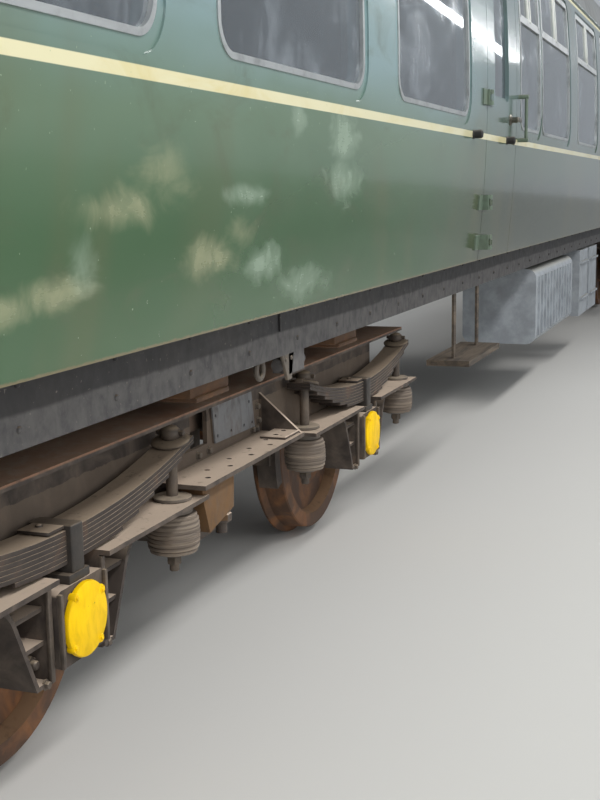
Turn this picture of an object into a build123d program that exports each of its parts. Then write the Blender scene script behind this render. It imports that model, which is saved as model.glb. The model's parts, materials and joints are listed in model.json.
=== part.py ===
"""Gangwayed passenger coach on two leaf-sprung bogies, in millimetres.

X runs along the coach, Y across it and Z up. The origin is the middle of the coach at the
level that the wheel flanges stand on. Heights named here are above the rail, and every piece
is lifted by the depth of a wheel flange when it is written.
"""
from build123d import *
import os
from math import acos, asin, atan2, cos, degrees, hypot, pi, radians, sin, sqrt, tan

os.makedirs("parts", exist_ok=True)

# Body
body_length = 19660
half_bottom = 1366
half_waist = 1410
half_cantrail = 1356
bottom_z = 1196
waist_z = 1930
cantrail_z = 2920
crown_z = 3780
shoulder_y = 1000
shoulder_z = 3485
wall = 70
roof_wall = 60
end_wall = 60
floor_thick = 64

# Windows and doors, along the coach from the centre of the nearer bogie
window_sill_z = 1893
window_head_z = 2857
window_rim = 18
pan_width = 40
pan_depth = 6
sill_radius = 100
head_radius = 55
glass_thick = 6
glass_inset = 14
transom_z = 2500
transom_height = 26
vent_stile = 15
doorway = (2240, 3060)
door_gap = 6
door_thick = 60
door_top_gap = 8
droplight_sill_z = 2022
droplight_margin = (190, 245)
droplight_radius = 35
droplight_rim = 14
droplight_depth = (8, 34)
# name, left edge, right edge
windows = (
    ("end bay", -2310, -1410),
    ("first bay", -1075, 165),
    ("second bay", 595, 1835),
    ("half bay", 3210, 3910),
    ("third bay", 3990, 5230),
    ("fourth bay", 5680, 6920),
)

# Door fittings
hinge_out = 18
hinge_height = 75
hinge_reach = 120
strap_thick = 7
strap_rise = 16
knuckle_radius = 14
knuckle_height = 20
knuckle_gap = 5
pin_radius = 6
pin_clearance = 0.1
hinge_levels = (1290, 1490, 2010)
stop_z = 1818
stop_radius = 17
stop_length = 42
body_stop_x = 1930
door_stop_x = 2790
handle_x = 2865
handle_z = 1930
handle_stem = 40
handle_stem_radius = 14
handle_grip = (100, 14, 22)
rail_x = 3115
rail_levels = (1830, 2070)
rail_out = 45
rail_radius = 9

# Underframe
bogie_centres = 14174
sole_y = 1225
sole_z = 1013
sole_flange = 85
sole_web = 12
headstock_thick = 60
headstock_z = 930
bearer_depth = 130
bearer_pitch = 1350
bearer_web = 10
bearer_flange = 60
long_member_y = 330
long_member_web = 12
long_member_flange = 70
bolster_beam = 340
pivot_radius = 190
pivot_gap = 0.5
sole_bracket_x = 60
sole_bracket = (150, 60, 70)
bracket_tube = (220, 22, 38)

# Footboards and the gear under the floor; reaches are from the centre of the nearer bogie
step_z = 640
step_out = 1330
step_width = 230
step_thick = 30
step_strap_inset = 120
step_strap = (50, 12)
tank_reach = (4890, 6800)
tank_y = (-1240, -700)
tank_z = (435, 985)
tank_corner = 70
tank_rib = 24
tank_rib_out = 14
rib_pitch = 150
rib_margin = 60
tank_hanger = (60, 20)
tank_hanger_inset = 250
case_z = (400, 1000)
case_gap = (530, 110)
case_length = (570, 590)
near_case_y = (-1235, -900)
far_case_x = ((-2300, -1000), (-900, 400))
far_case_y = (760, 1235)
case_strip = 18
case_strip_out = 22
case_strip_levels = (150, 480)
case_hanger = (40, 120)
case_hanger_inset = 80
reservoir_radius = 190
reservoir_gap = 387
reservoir_length = 1400
reservoir_y = 820
reservoir_z = 800
reservoir_strap = (50, 60)
reservoir_strap_inset = 250
cylinder_x = 4200
# radius, foot and top of each part of a vertical brake cylinder
cylinder_steps = ((230, 560, 900), (150, 540, 560), (30, 470, 560))
cylinder_lug_y = 150

# Wheels
tread_radius = 457
flange_depth = 28
flange_thick = 32
tyre_width = 127
back_to_back = 1360
tyre_thick = 68
disc_thick = 26
hub_radius = 130
axle_radius = 80
journal_radius = 62
journal_clearance = 0.3

# Bogie
wheelbase = 2591
web_y = 925
web_thick = 16
frame_top_z = 895
frame_bottom_z = 590
frame_half = 1785
flange_y = 1090
flange_plate = 15
lower_flange_z = 645
lower_flange = (-575, 335)
lower_flange_y = 1105
transom_x = 330
spring_y = 1005
spring_width = 100
leaf_thick = 13
leaf_halves = (750, 750, 665, 570, 470, 370, 270)
spring_top_z = 700
spring_rise = 85
buckle_half = (30, 66)
hanger_x = 685
rod_radius = 19
rod_bottom_z = 372
knob_radius = 27
knob_height = 35
nut_radius = 31
nut_height = 28
saddle_radius = 46
saddle_thick = 9
pot_radius = 85
pot_z = 438
pot_height = 125
pot_layers = 5
pot_neck = 8
pot_foot = 8
pot_foot_radius = 63
pot_cap_radius = 67
box_half = 122
box_z = (352, 562)
box_y = (948, 1075)
box_corner = 22
box_front = 45
cover_radius = 102
cover_thick = 20
lug_radius = 14
horn_gap = 6
horn_z = 325
horn_bottom_reach = 200
horn_top_reach = 390
horn_bend_radius = 110
horn_face_y = 1055
horn_wall = 14
horn_rib = 12
horn_sheet = (30, 16)
horn_rib_levels = (430, 520)
arm_end = 95
brake_gap = 7
brake_thick = 55
brake_span = 19
brake_hanger = 26
brake_hanger_top = 800
brake_beam_z = (-60, -10)
bolster_top_z = 929
bolster_z = (730, 890)
bolster_half = (200, 870)
plank_z = 318
plank_thick = 30
plank_half = (180, 860)
bolster_spring_radius = 70
bolster_spring_at = (90, 700)

# Couplings and gangway
buffer_y = 865
buffer_z = 1054
buffer_reach = 430
buffer_head_radius = 228
gangway_half = 380
gangway_height = 1960
gangway_wall = 110
gangway_reach = 400
face_plate = 30
bellows_folds = 6
fold_depth = 45
fold_corner = 60
face_plate_rim = 25
end_door_thick = 38
end_door_gap = 6
end_light_margin = 150
end_light_levels = (1050, 1650)
end_glass_thick = 6
end_hinge_out = 16
end_knuckle_radius = 10
end_knuckle_height = 40
end_knuckle_levels = (300, 1000, 1700)

# Inside
screen_thick = 36
screen_height = 1750
screen_from_door = 60
aisle_half = 300
seat_depth = 470
seat_height = 420
cushion_thick = 110
back_height = 780
back_thick = 75
back_foot_extra = 45
seat_frame_half = 22
seat_gap = 6
tray_thick = 25
seat_leg = 40
seat_leg_reach = 330
rack_z = 2905
rack_rail_radius = 11
rack_rail_y = (-1030, -1110, -1190)
rack_bracket = (16, 12)
rack_bracket_pitch = 900
rack_from_door = 80
rack_from_end = 300

end_x = body_length / 2
bogie_x = bogie_centres / 2
floor_z = bottom_z + floor_thick
axle_z = tread_radius
inner_x = end_x - end_wall


def save(node, shapes, x=0, turned=False):
    """Write one node at X, lifted so that the wheel flanges stand on Z = 0."""
    pieces = shapes if isinstance(shapes, list) else [shapes]
    pieces = [Pos(x, 0, 0) * piece for piece in pieces]
    if turned:
        pieces = [Rot(0, 0, 180) * piece for piece in pieces]
    pieces = [Pos(0, 0, flange_depth) * piece for piece in pieces]
    export_step(pieces[0] if len(pieces) == 1 else Compound(children=pieces), f"parts/{node}.step")


def box(x0, x1, y0, y1, z0, z1):
    """A block between six planes."""
    at = Pos((x0 + x1) / 2, (y0 + y1) / 2, (z0 + z1) / 2)
    return at * Box(abs(x1 - x0), abs(y1 - y0), abs(z1 - z0))


def rod_x(radius, x0, x1, y, z):
    """A round bar along X."""
    return Pos((x0 + x1) / 2, y, z) * Rot(0, 90, 0) * Cylinder(radius, abs(x1 - x0))


def rod_y(radius, x, y0, y1, z):
    """A round bar along Y."""
    return Pos(x, (y0 + y1) / 2, z) * Rot(90, 0, 0) * Cylinder(radius, abs(y1 - y0))


def rod_z(radius, x, y, z0, z1):
    """A round bar along Z."""
    return Pos(x, y, (z0 + z1) / 2) * Cylinder(radius, abs(z1 - z0))


def fuse(shapes):
    """Join a list of solids."""
    first, *rest = shapes
    return first.fuse(*rest) if rest else first


def both_sides(shape):
    """The shape and its mirror image across the coach."""
    return [shape, mirror(shape, about=Plane.XZ)]


def both_ends(shape):
    """The shape and its mirror image along the coach."""
    return [shape, mirror(shape, about=Plane.YZ)]


def plate_xz(points, y0, y1):
    """A flat plate of the given outline in X and Z, between two Y planes."""
    face = make_face(Polyline([(x, z) for x, z in points], close=True))
    plane = Plane(origin=(0, y1, 0), x_dir=(1, 0, 0), z_dir=(0, -1, 0))
    return extrude(plane * face, y1 - y0)


# The side of the body is one arc through the sill, the waist and the cantrail
side_low = (half_bottom, bottom_z)
side_mid = (half_waist, waist_z)
side_high = (half_cantrail, cantrail_z)


def circle_through(a, b, c):
    """Centre and radius of the circle through three points."""
    d = 2 * (a[0] * (b[1] - c[1]) + b[0] * (c[1] - a[1]) + c[0] * (a[1] - b[1]))
    sa, sb, sc = (p[0] ** 2 + p[1] ** 2 for p in (a, b, c))
    cy = (sa * (b[1] - c[1]) + sb * (c[1] - a[1]) + sc * (a[1] - b[1])) / d
    cz = (sa * (c[0] - b[0]) + sb * (a[0] - c[0]) + sc * (b[0] - a[0])) / d
    return cy, cz, hypot(a[0] - cy, a[1] - cz)


side_cy, side_cz, side_radius = circle_through(side_low, side_mid, side_high)


def side_y(z, depth=0):
    """How far out the side is at a height, less a depth into the wall."""
    return side_cy + sqrt((side_radius - depth) ** 2 - (z - side_cz) ** 2)


def side_shell(depth0, depth1, z0, z1, x0, x1):
    """A stretch of the side between two depths below its outer skin, on the -Y side."""
    zm = (z0 + z1) / 2
    outer = [(side_y(z, depth0), z) for z in (z0, zm, z1)]
    inner = [(side_y(z, depth1), z) for z in (z1, zm, z0)]
    rim = [ThreePointArc(*outer), Line(outer[2], inner[0])]
    rim += [ThreePointArc(*inner), Line(inner[2], outer[0])]
    plane = Plane(origin=(x0, 0, 0), x_dir=(0, -1, 0), z_dir=(-1, 0, 0))
    return extrude(plane * make_face(rim), -(x1 - x0))


def window_face(x0, x1, z0, z1, low, high):
    """A window outline with its own corner radius at the sill and at the head."""
    quarter = sqrt(0.5)
    edges = []
    # corner x, corner z, radius, direction to the middle in x and z
    corners = ((x0, z0, low, 1, 1), (x1, z0, low, -1, 1), (x1, z1, high, -1, -1), (x0, z1, high, 1, -1))
    arcs = []
    for x, z, r, sx, sz in corners:
        centre = (x + sx * r, z + sz * r)
        along = (centre[0], z)
        up = (x, centre[1])
        mid = (centre[0] - sx * r * quarter, centre[1] - sz * r * quarter)
        start, stop = (up, along) if sx == sz else (along, up)
        arcs.append((start, mid, stop))
    for i, (start, mid, stop) in enumerate(arcs):
        edges.append(ThreePointArc(start, mid, stop))
        edges.append(Line(stop, arcs[(i + 1) % 4][0]))
    return make_face(edges)


def window_prism(x0, x1, z0, z1, low, high):
    """The window outline as a solid that runs through the -Y side."""
    plane = Plane(origin=(0, -half_cantrail + 2 * wall, 0), x_dir=(1, 0, 0), z_dir=(0, -1, 0))
    return extrude(plane * window_face(x0, x1, z0, z1, low, high), 4 * wall)


def coach_x(reach):
    """A place named from the bogie centre, as X on the first half of the coach."""
    return -bogie_x + reach


panes = [(coach_x(left), coach_x(right)) for _, left, right in windows]
door_left, door_right = coach_x(doorway[0]), coach_x(doorway[1])


def cut_windows(wall_piece, spans):
    """Cut the panes and their shallow outer pans through a stretch of side."""
    for x0, x1 in spans:
        wall_piece -= window_prism(x0, x1, window_sill_z, window_head_z, sill_radius, head_radius)
        pan = window_prism(x0 - pan_width, x1 + pan_width, window_sill_z - pan_width,
                           window_head_z + pan_width / 2, sill_radius + pan_width, head_radius + pan_width)
        skin = side_shell(-1, pan_depth, bottom_z, cantrail_z, x0 - wall, x1 + wall)
        wall_piece -= skin & pan
    return wall_piece


end_section = side_shell(0, wall, bottom_z, cantrail_z, -inner_x, door_left)
end_section = cut_windows(end_section, panes[:3])
middle_half = side_shell(0, wall, bottom_z, cantrail_z, door_right, 0)
middle_half = cut_windows(middle_half, panes[3:])
middle_section = middle_half.fuse(mirror(middle_half, about=Plane.YZ)).clean()

for side, flip in (("near", False), ("far", True)):
    pieces = {"front": end_section, "middle": middle_section, "rear": mirror(end_section, about=Plane.YZ)}
    for place, piece in pieces.items():
        save(f"side_{side}_{place}", mirror(piece, about=Plane.XZ) if flip else piece)


def inset_outline(x0, x1, z0, z1, low, high, rim):
    """A window outline moved inwards all round by a rim."""
    return x0 + rim, x1 - rim, z0 + rim, z1 - rim, low - rim, high - rim


def ring_prism(*outline, rim):
    """A window outline with its middle cut away, leaving a rim."""
    return window_prism(*outline) - window_prism(*inset_outline(*outline, rim))


def window_frame(x0, x1):
    """The bright rim of one window with its transom and two sliding vents."""
    shell = side_shell(2, glass_inset + glass_thick + 10, window_sill_z - 1, window_head_z + 1, x0, x1)
    ring = ring_prism(x0, x1, window_sill_z, window_head_z, sill_radius, head_radius, rim=window_rim)
    bar = box(x0 + 1, x1 - 1, -half_waist - 9, -half_cantrail + 90, transom_z, transom_z + transom_height)
    middle = (x0 + x1) / 2
    vents = []
    half_stile = vent_stile / 2
    for left, right in ((x0 + window_rim, middle + half_stile), (middle - half_stile, x1 - window_rim)):
        vents.append(ring_prism(left, right, transom_z + transom_height, window_head_z - window_rim,
                                head_radius - window_rim, head_radius - window_rim, rim=vent_stile))
    return shell & fuse([ring, bar] + vents)


def window_glass(x0, x1):
    """The fixed pane and the two vent panes of one window."""
    depth1 = glass_inset + glass_thick
    shell = side_shell(glass_inset, depth1, window_sill_z, window_head_z, x0, x1)
    full = window_prism(x0 + window_rim, x1 - window_rim, window_sill_z + window_rim, transom_z,
                        sill_radius - window_rim, 1)
    middle = (x0 + x1) / 2
    top = window_head_z - window_rim - vent_stile
    low = transom_z + transom_height + vent_stile
    corner = head_radius - window_rim - vent_stile
    inner = window_rim + vent_stile
    left = window_prism(x0 + inner, middle - vent_stile / 2, low, top, corner, corner)
    right = window_prism(middle + vent_stile / 2, x1 - inner, low, top, corner, corner)
    return [shell & piece for piece in (full, left, right)]


frames, glass = [], []
for x0, x1 in panes:
    frames.append(window_frame(x0, x1))
    glass += window_glass(x0, x1)
frames = [f for frame in frames for s in both_ends(frame) for f in both_sides(s)]
glass = [g for pane in glass for s in both_ends(pane) for g in both_sides(s)]
save("window_frames", frames)
save("window_glass", glass)


# Roof: a haunch arc each side and a flatter crown, drawn with the outward lean of each point
crown_rise = crown_z - shoulder_z
crown_radius = (shoulder_y ** 2 + crown_rise ** 2) / (2 * crown_rise)
shoulder_lean = degrees(acos(shoulder_y / crown_radius))
chord_lean = degrees(atan2(half_cantrail - shoulder_y, shoulder_z - cantrail_z))
foot_lean = 2 * chord_lean - shoulder_lean
haunch_chord = hypot(half_cantrail - shoulder_y, shoulder_z - cantrail_z)
haunch_sag = haunch_chord / 2 * tan(radians(shoulder_lean - foot_lean) / 4)
haunch_mid = ((half_cantrail + shoulder_y) / 2 + haunch_sag * cos(radians(chord_lean)),
              (cantrail_z + shoulder_z) / 2 + haunch_sag * sin(radians(chord_lean)))


def roof_points(depth):
    """Foot, haunch, shoulder and crown of the roof, a depth inside its outer skin."""
    # y, z, lean of the outward normal above level
    rows = ((half_cantrail, cantrail_z, 0), (*haunch_mid, chord_lean),
            (shoulder_y, shoulder_z, shoulder_lean), (0, crown_z, 90))
    return [(y - depth * cos(radians(a)), z - depth * sin(radians(a))) for y, z, a in rows]


def roof_arcs(depth):
    """Three arcs over the coach from one foot to the other."""
    *right, crown = roof_points(depth)
    left = [(-y, z) for y, z in reversed(right)]
    return [ThreePointArc(*right), ThreePointArc(right[-1], crown, left[0]), ThreePointArc(*left)]


def across(x):
    """The plane across the coach at X, drawn as y and z and facing +X."""
    return Plane(origin=(x, 0, 0), x_dir=(0, 1, 0), z_dir=(1, 0, 0))


outer_foot = roof_points(0)[0]
inner_foot = roof_points(roof_wall)[0]
roof_edges = roof_arcs(0) + roof_arcs(roof_wall)
for sign in (-1, 1):
    roof_edges.append(Line(*[(sign * y, z) for y, z in (outer_foot, inner_foot)]))
roof = extrude(across(-inner_x) * make_face(roof_edges), 2 * inner_x)
save("roof", roof)

vent_count = 8
vent_length = 420
vent_radius = 95
vent_sink = 20
roof_chord = Line((-outer_foot[0], outer_foot[1]), outer_foot)
vents = []
for i in range(vent_count):
    x = (i - (vent_count - 1) / 2) * body_length / (vent_count + 0.5)
    under = extrude(across(x - vent_length) * make_face(roof_arcs(0) + [roof_chord]), 2 * vent_length)
    cap = rod_x(vent_radius, x - vent_length / 2, x + vent_length / 2, 0, crown_z - vent_sink)
    for end in (-1, 1):
        cap += Pos(x + end * vent_length / 2, 0, crown_z - vent_sink) * Sphere(vent_radius)
    vents.append(cap - under)
save("roof_vents", vents)

# End walls: the whole outline of the body, with the doorway of the gangway cut out
profile = roof_arcs(0)
for sign in (-1, 1):
    profile.append(ThreePointArc(*[(sign * y, z) for y, z in (side_low, side_mid, side_high)]))
profile.append(Line((-half_bottom, bottom_z), (half_bottom, bottom_z)))
end_face = make_face(profile)
gang_low, gang_high = floor_z, floor_z + gangway_height
for name, x in (("end_wall_front", -end_x), ("end_wall_rear", inner_x)):
    panel = extrude(across(x) * end_face, end_wall)
    save(name, panel - box(x - 1, x + end_wall + 1, -gangway_half, gangway_half, gang_low, gang_high))

# Floor
floor_half = side_y(bottom_z, wall)
save("floor", box(-inner_x, inner_x, -floor_half, floor_half, bottom_z, floor_z))


# Gangways: a folded bellows with a steel face plate at its mouth, at each end
def gangway_tube(x0, x1, grow):
    """A rectangular tube round the gangway doorway."""
    outer = box(x0, x1, -gangway_half - grow, gangway_half + grow, gang_low - grow, gang_high + grow)
    return outer - box(x0 - 1, x1 + 1, -gangway_half, gangway_half, gang_low, gang_high)


def gangway_rim(x, grow):
    """The outline of the gangway at X, larger than its doorway all round."""
    height = gang_high - gang_low + 2 * grow
    middle = Pos(0, (gang_low + gang_high) / 2)
    return across(x) * middle * RectangleRounded(2 * (gangway_half + grow), height, fold_corner)


mouth_x = end_x + gangway_reach
fold = (gangway_reach - face_plate) / bellows_folds
pleats = []
for i in range(bellows_folds):
    x = end_x + i * fold
    valley, crest = gangway_wall - fold_depth, gangway_wall
    pleats.append(loft([gangway_rim(x, valley), gangway_rim(x + fold / 2, crest)]))
    pleats.append(loft([gangway_rim(x + fold / 2, crest), gangway_rim(x + fold, valley)]))
bellows = fuse(pleats)
bellows -= box(end_x - 1, mouth_x, -gangway_half, gangway_half, gang_low, gang_high)
plate = gangway_tube(mouth_x - face_plate, mouth_x, gangway_wall + face_plate_rim)
save("gangway_bellows", both_ends(bellows))
save("gangway_face_plates", both_ends(plate))

# End doors in the gangway, hinged inside the wall at +Y and -Y, opening inwards
end_hinge_y = gangway_half - end_door_gap / 2
end_hinge_x = inner_x - end_hinge_out
end_light_half = gangway_half - end_light_margin
end_light_z = [floor_z + level for level in end_light_levels]
end_door = box(inner_x, inner_x + end_door_thick, -gangway_half + end_door_gap, gangway_half - end_door_gap,
               gang_low + end_door_gap, gang_high - end_door_gap)
end_door -= box(inner_x - 1, inner_x + end_door_thick + 1, -end_light_half, end_light_half, *end_light_z)
end_knuckles = []
for level in end_knuckle_levels:
    low, high = floor_z + level, floor_z + level + end_knuckle_height
    web_y_span = (end_hinge_y - 2 * end_knuckle_radius - 2, end_hinge_y - 1)
    end_knuckles.append(rod_z(end_knuckle_radius, end_hinge_x, end_hinge_y, low, high))
    end_knuckles.append(box(end_hinge_x, inner_x, *web_y_span, low, high))
end_door = fuse([end_door] + end_knuckles)
end_glass_x = inner_x + (end_door_thick - end_glass_thick) / 2 - 2
end_glass = box(end_glass_x, end_glass_x + end_glass_thick, -end_light_half, end_light_half, *end_light_z)
for place, turned in (("rear", False), ("front", True)):
    save(f"end_door_{place}", end_door, 0, turned)
    save(f"end_door_glass_{place}", end_glass, 0, turned)

# Side doors, with hinges at the left edge as seen from outside
hinge_x = door_left + door_gap / 2
hinge_y = -(side_y(waist_z) + hinge_out)
drop_left = door_left + droplight_margin[0]
drop_right = door_right - droplight_margin[1]
door_top = cantrail_z - door_top_gap


def strap(x0, x1, z):
    """A thin hinge strap that follows the skin, with a raised end towards the pin."""
    low, high = z - hinge_height / 2, z + hinge_height / 2
    plate = side_shell(-strap_thick, 0, low, high, x0, x1)
    near = min((x0, x1), key=lambda x: abs(x - hinge_x))
    toward = 1 if near < (x0 + x1) / 2 else -1
    rise = box(near, near + toward * strap_rise, hinge_y, hinge_y + 3 * wall, low, high)
    return plate + (rise - side_shell(0, 4 * wall, bottom_z, cantrail_z, x0 - 1, x1 + 1))


def knuckle(z0, z1, toward):
    """A knuckle round the hinge pin with a web back to its strap."""
    reach = toward * (knuckle_radius + knuckle_gap + 2)
    web = box(hinge_x, hinge_x + reach, hinge_y, hinge_y + knuckle_radius, z0, z1)
    return rod_z(knuckle_radius, hinge_x, hinge_y, z0, z1) + web


strap_clear = knuckle_radius + knuckle_gap + 2
door = side_shell(0, door_thick, bottom_z, door_top, door_left + door_gap, door_right - door_gap)
drop_outline = (drop_left, drop_right, droplight_sill_z, window_head_z, droplight_radius, droplight_radius)
door -= window_prism(*drop_outline)
body_hinges = []
for z in hinge_levels:
    low = z - hinge_height / 2
    high = z + hinge_height / 2
    door += strap(hinge_x + strap_clear, hinge_x + hinge_reach, z)
    body_hinges.append(strap(hinge_x - hinge_reach, hinge_x - strap_clear, z))
    middle = knuckle(low + knuckle_height + knuckle_gap, high - knuckle_height - knuckle_gap, 1)
    door += middle
    door -= rod_z(pin_radius + pin_clearance, hinge_x, hinge_y, low, high)
    body_hinges.append(knuckle(low, low + knuckle_height, -1))
    body_hinges.append(knuckle(high - knuckle_height, high, -1))
    body_hinges.append(rod_z(pin_radius, hinge_x, hinge_y, low, high))


def stud(x, z, radius, length):
    """A round block that stands out of the side."""
    face = side_y(z)
    return rod_y(radius, x, -face - length, -face + strap_thick, z)


def on_skin(shape):
    """What is left of a fitting outside the skin."""
    bounds = shape.bounding_box()
    return shape - side_shell(0, 4 * wall, bottom_z, cantrail_z, bounds.min.X - 1, bounds.max.X + 1)


door += on_skin(stud(coach_x(door_stop_x), stop_z, stop_radius, stop_length))
door += on_skin(stud(coach_x(handle_x), handle_z, handle_stem_radius, handle_stem))
handle_y = -side_y(handle_z) - handle_stem - handle_grip[1] / 2
door += Pos(coach_x(handle_x), handle_y, handle_z) * Box(*handle_grip)
door_hinge_fittings = fuse(body_hinges)
body_stop = on_skin(stud(coach_x(body_stop_x), stop_z, stop_radius, stop_length))
rail_y = -side_y(rail_levels[1]) - rail_out
grab = rod_z(rail_radius, coach_x(rail_x), rail_y, *rail_levels)
post_radius = rail_radius + 3
for z in rail_levels:
    grab += on_skin(rod_y(post_radius, coach_x(rail_x), rail_y - post_radius, -side_y(z) + post_radius, z))
droplight_shell = side_shell(*droplight_depth, droplight_sill_z - 1, window_head_z + 1, drop_left, drop_right)
droplight_frame = droplight_shell & ring_prism(*drop_outline, rim=droplight_rim)
drop_inner = window_prism(*inset_outline(*drop_outline, droplight_rim))
pane_depth = (sum(droplight_depth) / 2 - glass_thick / 2, sum(droplight_depth) / 2 + glass_thick / 2)
droplight = side_shell(*pane_depth, droplight_sill_z, window_head_z, drop_left, drop_right) & drop_inner
door = door.fuse(droplight_frame)

# Each doorway: place, X shift from the first doorway, turned to the far side or not
door_shift = -(door_left + door_right)
fittings = []
for name, shift, turned in (("near_front", 0, False), ("near_rear", door_shift, False),
                            ("far_front", door_shift, True), ("far_rear", 0, True)):
    save(f"door_{name}", door, shift, turned)
    save(f"droplight_{name}", droplight, shift, turned)
    for shape in (door_hinge_fittings, body_stop, grab):
        moved = Pos(shift, 0, 0) * shape
        fittings.append(Rot(0, 0, 180) * moved if turned else moved)
save("door_fittings", fittings)

# Underframe: solebars, headstocks, cross bearers, two middle members and a bolster over each bogie
bearer_z = bottom_z - bearer_depth
bearer_half = sole_y - sole_web
channel = box(-inner_x, inner_x, -sole_y, -sole_y + sole_web, sole_z, bottom_z)
channel += box(-inner_x, inner_x, -sole_y, -sole_y + sole_flange, sole_z, sole_z + sole_web)
channel += box(-inner_x, inner_x, -sole_y, -sole_y + sole_flange, bottom_z - sole_web, bottom_z)
members = both_sides(channel)
for sign in (-1, 1):
    headstock_x = sign * (end_x - headstock_thick)
    members.append(box(headstock_x, sign * end_x, -sole_y, sole_y, headstock_z, bottom_z))
    for width, high in ((long_member_web, bottom_z), (long_member_flange, bearer_z + long_member_web)):
        long_y = sign * long_member_y
        members.append(box(-inner_x, inner_x, long_y - width / 2, long_y + width / 2, bearer_z, high))
bearer_count = int(2 * inner_x // bearer_pitch)
for i in range(bearer_count):
    x = (i - (bearer_count - 1) / 2) * bearer_pitch
    for width, high in ((bearer_web, bottom_z), (bearer_flange, bearer_z + bearer_web)):
        members.append(box(x - width / 2, x + width / 2, -bearer_half, bearer_half, bearer_z, high))
for sign in (-1, 1):
    x = sign * bogie_x
    half = bolster_beam / 2
    members.append(box(x - half, x + half, -bearer_half, bearer_half, sole_z, bottom_z))
    members.append(rod_z(pivot_radius, x, 0, bolster_top_z + pivot_gap, sole_z))
# Brackets under the solebar beside the bogie, with the short tube that they carry
bracket_long, bracket_wide, bracket_deep = sole_bracket
tube_long, tube_radius, tube_drop = bracket_tube
for sign in (-1, 1):
    for edge in (-1, 1):
        x = sign * (bogie_x + sole_bracket_x)
        y = edge * (sole_y - bracket_wide / 2)
        members.append(Pos(x, y, sole_z - bracket_deep / 2) * Box(*sole_bracket))
        members.append(rod_x(tube_radius, x - tube_long / 2, x + tube_long / 2, y, sole_z - tube_drop))
save("underframe", fuse(members))

# Footboards under the doors
board = box(door_left, door_right, -step_out, -step_out + step_width, step_z, step_z + step_thick)
for x in (door_left + step_strap_inset, door_right - step_strap_inset):
    board += box(x - step_strap[0] / 2, x + step_strap[0] / 2, -sole_y, -sole_y + step_strap[1],
                 step_z + step_thick, sole_z)
save("footboards", [s for piece in both_ends(board) for s in both_sides(piece)])

# Gear under the floor between the bogies
def hanger(x, y, size, z0):
    """A flat hanger from the top of a piece of gear up to the bottom of the cross bearers."""
    along, across_it = size
    return box(x - along / 2, x + along / 2, y - across_it / 2, y + across_it / 2, z0, bearer_z)


tank_x = [coach_x(reach) for reach in tank_reach]
tank = box(*tank_x, *tank_y, *tank_z)
tank = fillet(tank.edges().filter_by(Axis.X), tank_corner)
ribs = []
rib_count = int((tank_x[1] - tank_x[0]) // rib_pitch)
for i in range(rib_count):
    x = tank_x[0] + (i + 0.7) * rib_pitch
    ribs.append(box(x - tank_rib / 2, x + tank_rib / 2, tank_y[0] - tank_rib_out, tank_y[0] + tank_rib,
                    tank_z[0] + rib_margin, tank_z[1] - rib_margin))
tank = fuse([tank] + ribs)
for x in (tank_x[0] + tank_hanger_inset, tank_x[1] - tank_hanger_inset):
    for y in (-sole_y + sole_flange + 1.5 * tank_hanger[1], tank_y[1] - tank_corner - tank_hanger[1]):
        tank += hanger(x, y, tank_hanger, tank_z[1] - 5)
save("tank", tank)

cases = []
near_x = tank_x[1]
case_places = []
for gap, length in zip(case_gap, case_length):
    case_places.append((near_x + gap, near_x + gap + length, *near_case_y))
    near_x += gap + length
case_places += [(*span, *far_case_y) for span in far_case_x]
for x0, x1, y0, y1 in case_places:
    case = box(x0, x1, y0, y1, *case_z)
    front, out = (y0, -1) if y0 < 0 else (y1, 1)
    for level in case_strip_levels:
        z = case_z[0] + level
        case += box(x0 + case_hanger[0], x1 - case_hanger[0], front - out * case_strip,
                    front + out * case_strip_out, z, z + case_strip)
    for x in (x0 + case_hanger_inset, x1 - case_hanger_inset):
        case += hanger(x, (y0 + y1) / 2, case_hanger, case_z[1])
    cases.append(case)
save("equipment_cases", cases)

drums = []
reservoir_x = (near_x + reservoir_gap, near_x + reservoir_gap + reservoir_length)
for y in (-reservoir_y, reservoir_y):
    drum = rod_x(reservoir_radius, *reservoir_x, y, reservoir_z)
    for x in (reservoir_x[0] + reservoir_strap_inset, reservoir_x[1] - reservoir_strap_inset):
        drum += hanger(x, y, reservoir_strap, reservoir_z)
    drums.append(drum)
for x in (-cylinder_x, cylinder_x):
    cylinder = fuse([rod_z(radius, x, 0, low, high) for radius, low, high in cylinder_steps])
    for y in (-cylinder_lug_y, cylinder_lug_y):
        cylinder += hanger(x, y, tank_hanger, cylinder_steps[0][2] - 1)
    drums.append(cylinder)
save("reservoirs_and_brake_cylinders", drums)

# Buffers and drawgear
# distance from the headstock and radius of the turned outline
buffer_outline = ((0, 0), (0, 135), (34, 130), (60, 116), (150, 110), (156, 117), (230, 117), (232, 80),
                  (buffer_reach - 60, 80), (buffer_reach - 38, 96), (buffer_reach - 30, 150),
                  (buffer_reach - 24, buffer_head_radius), (buffer_reach - 8, buffer_head_radius),
                  (buffer_reach, 150), (buffer_reach, 0))
base_half_y = 165
base_low, base_high = 122, 130
base_thick = 25
turned_plane = Plane(origin=(end_x, 0, 0), x_dir=(1, 0, 0), z_dir=(0, -1, 0))
turned_buffer = revolve(turned_plane * make_face(Polyline(*buffer_outline, close=True)), Axis.X, 360)
buffers = []
for y in (-buffer_y, buffer_y):
    base = box(end_x, end_x + base_thick, y - base_half_y, y + base_half_y,
               buffer_z - base_low, buffer_z + base_high)
    buffers += both_ends(base + Pos(0, y, buffer_z) * turned_buffer)
save("buffers", buffers)

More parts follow.
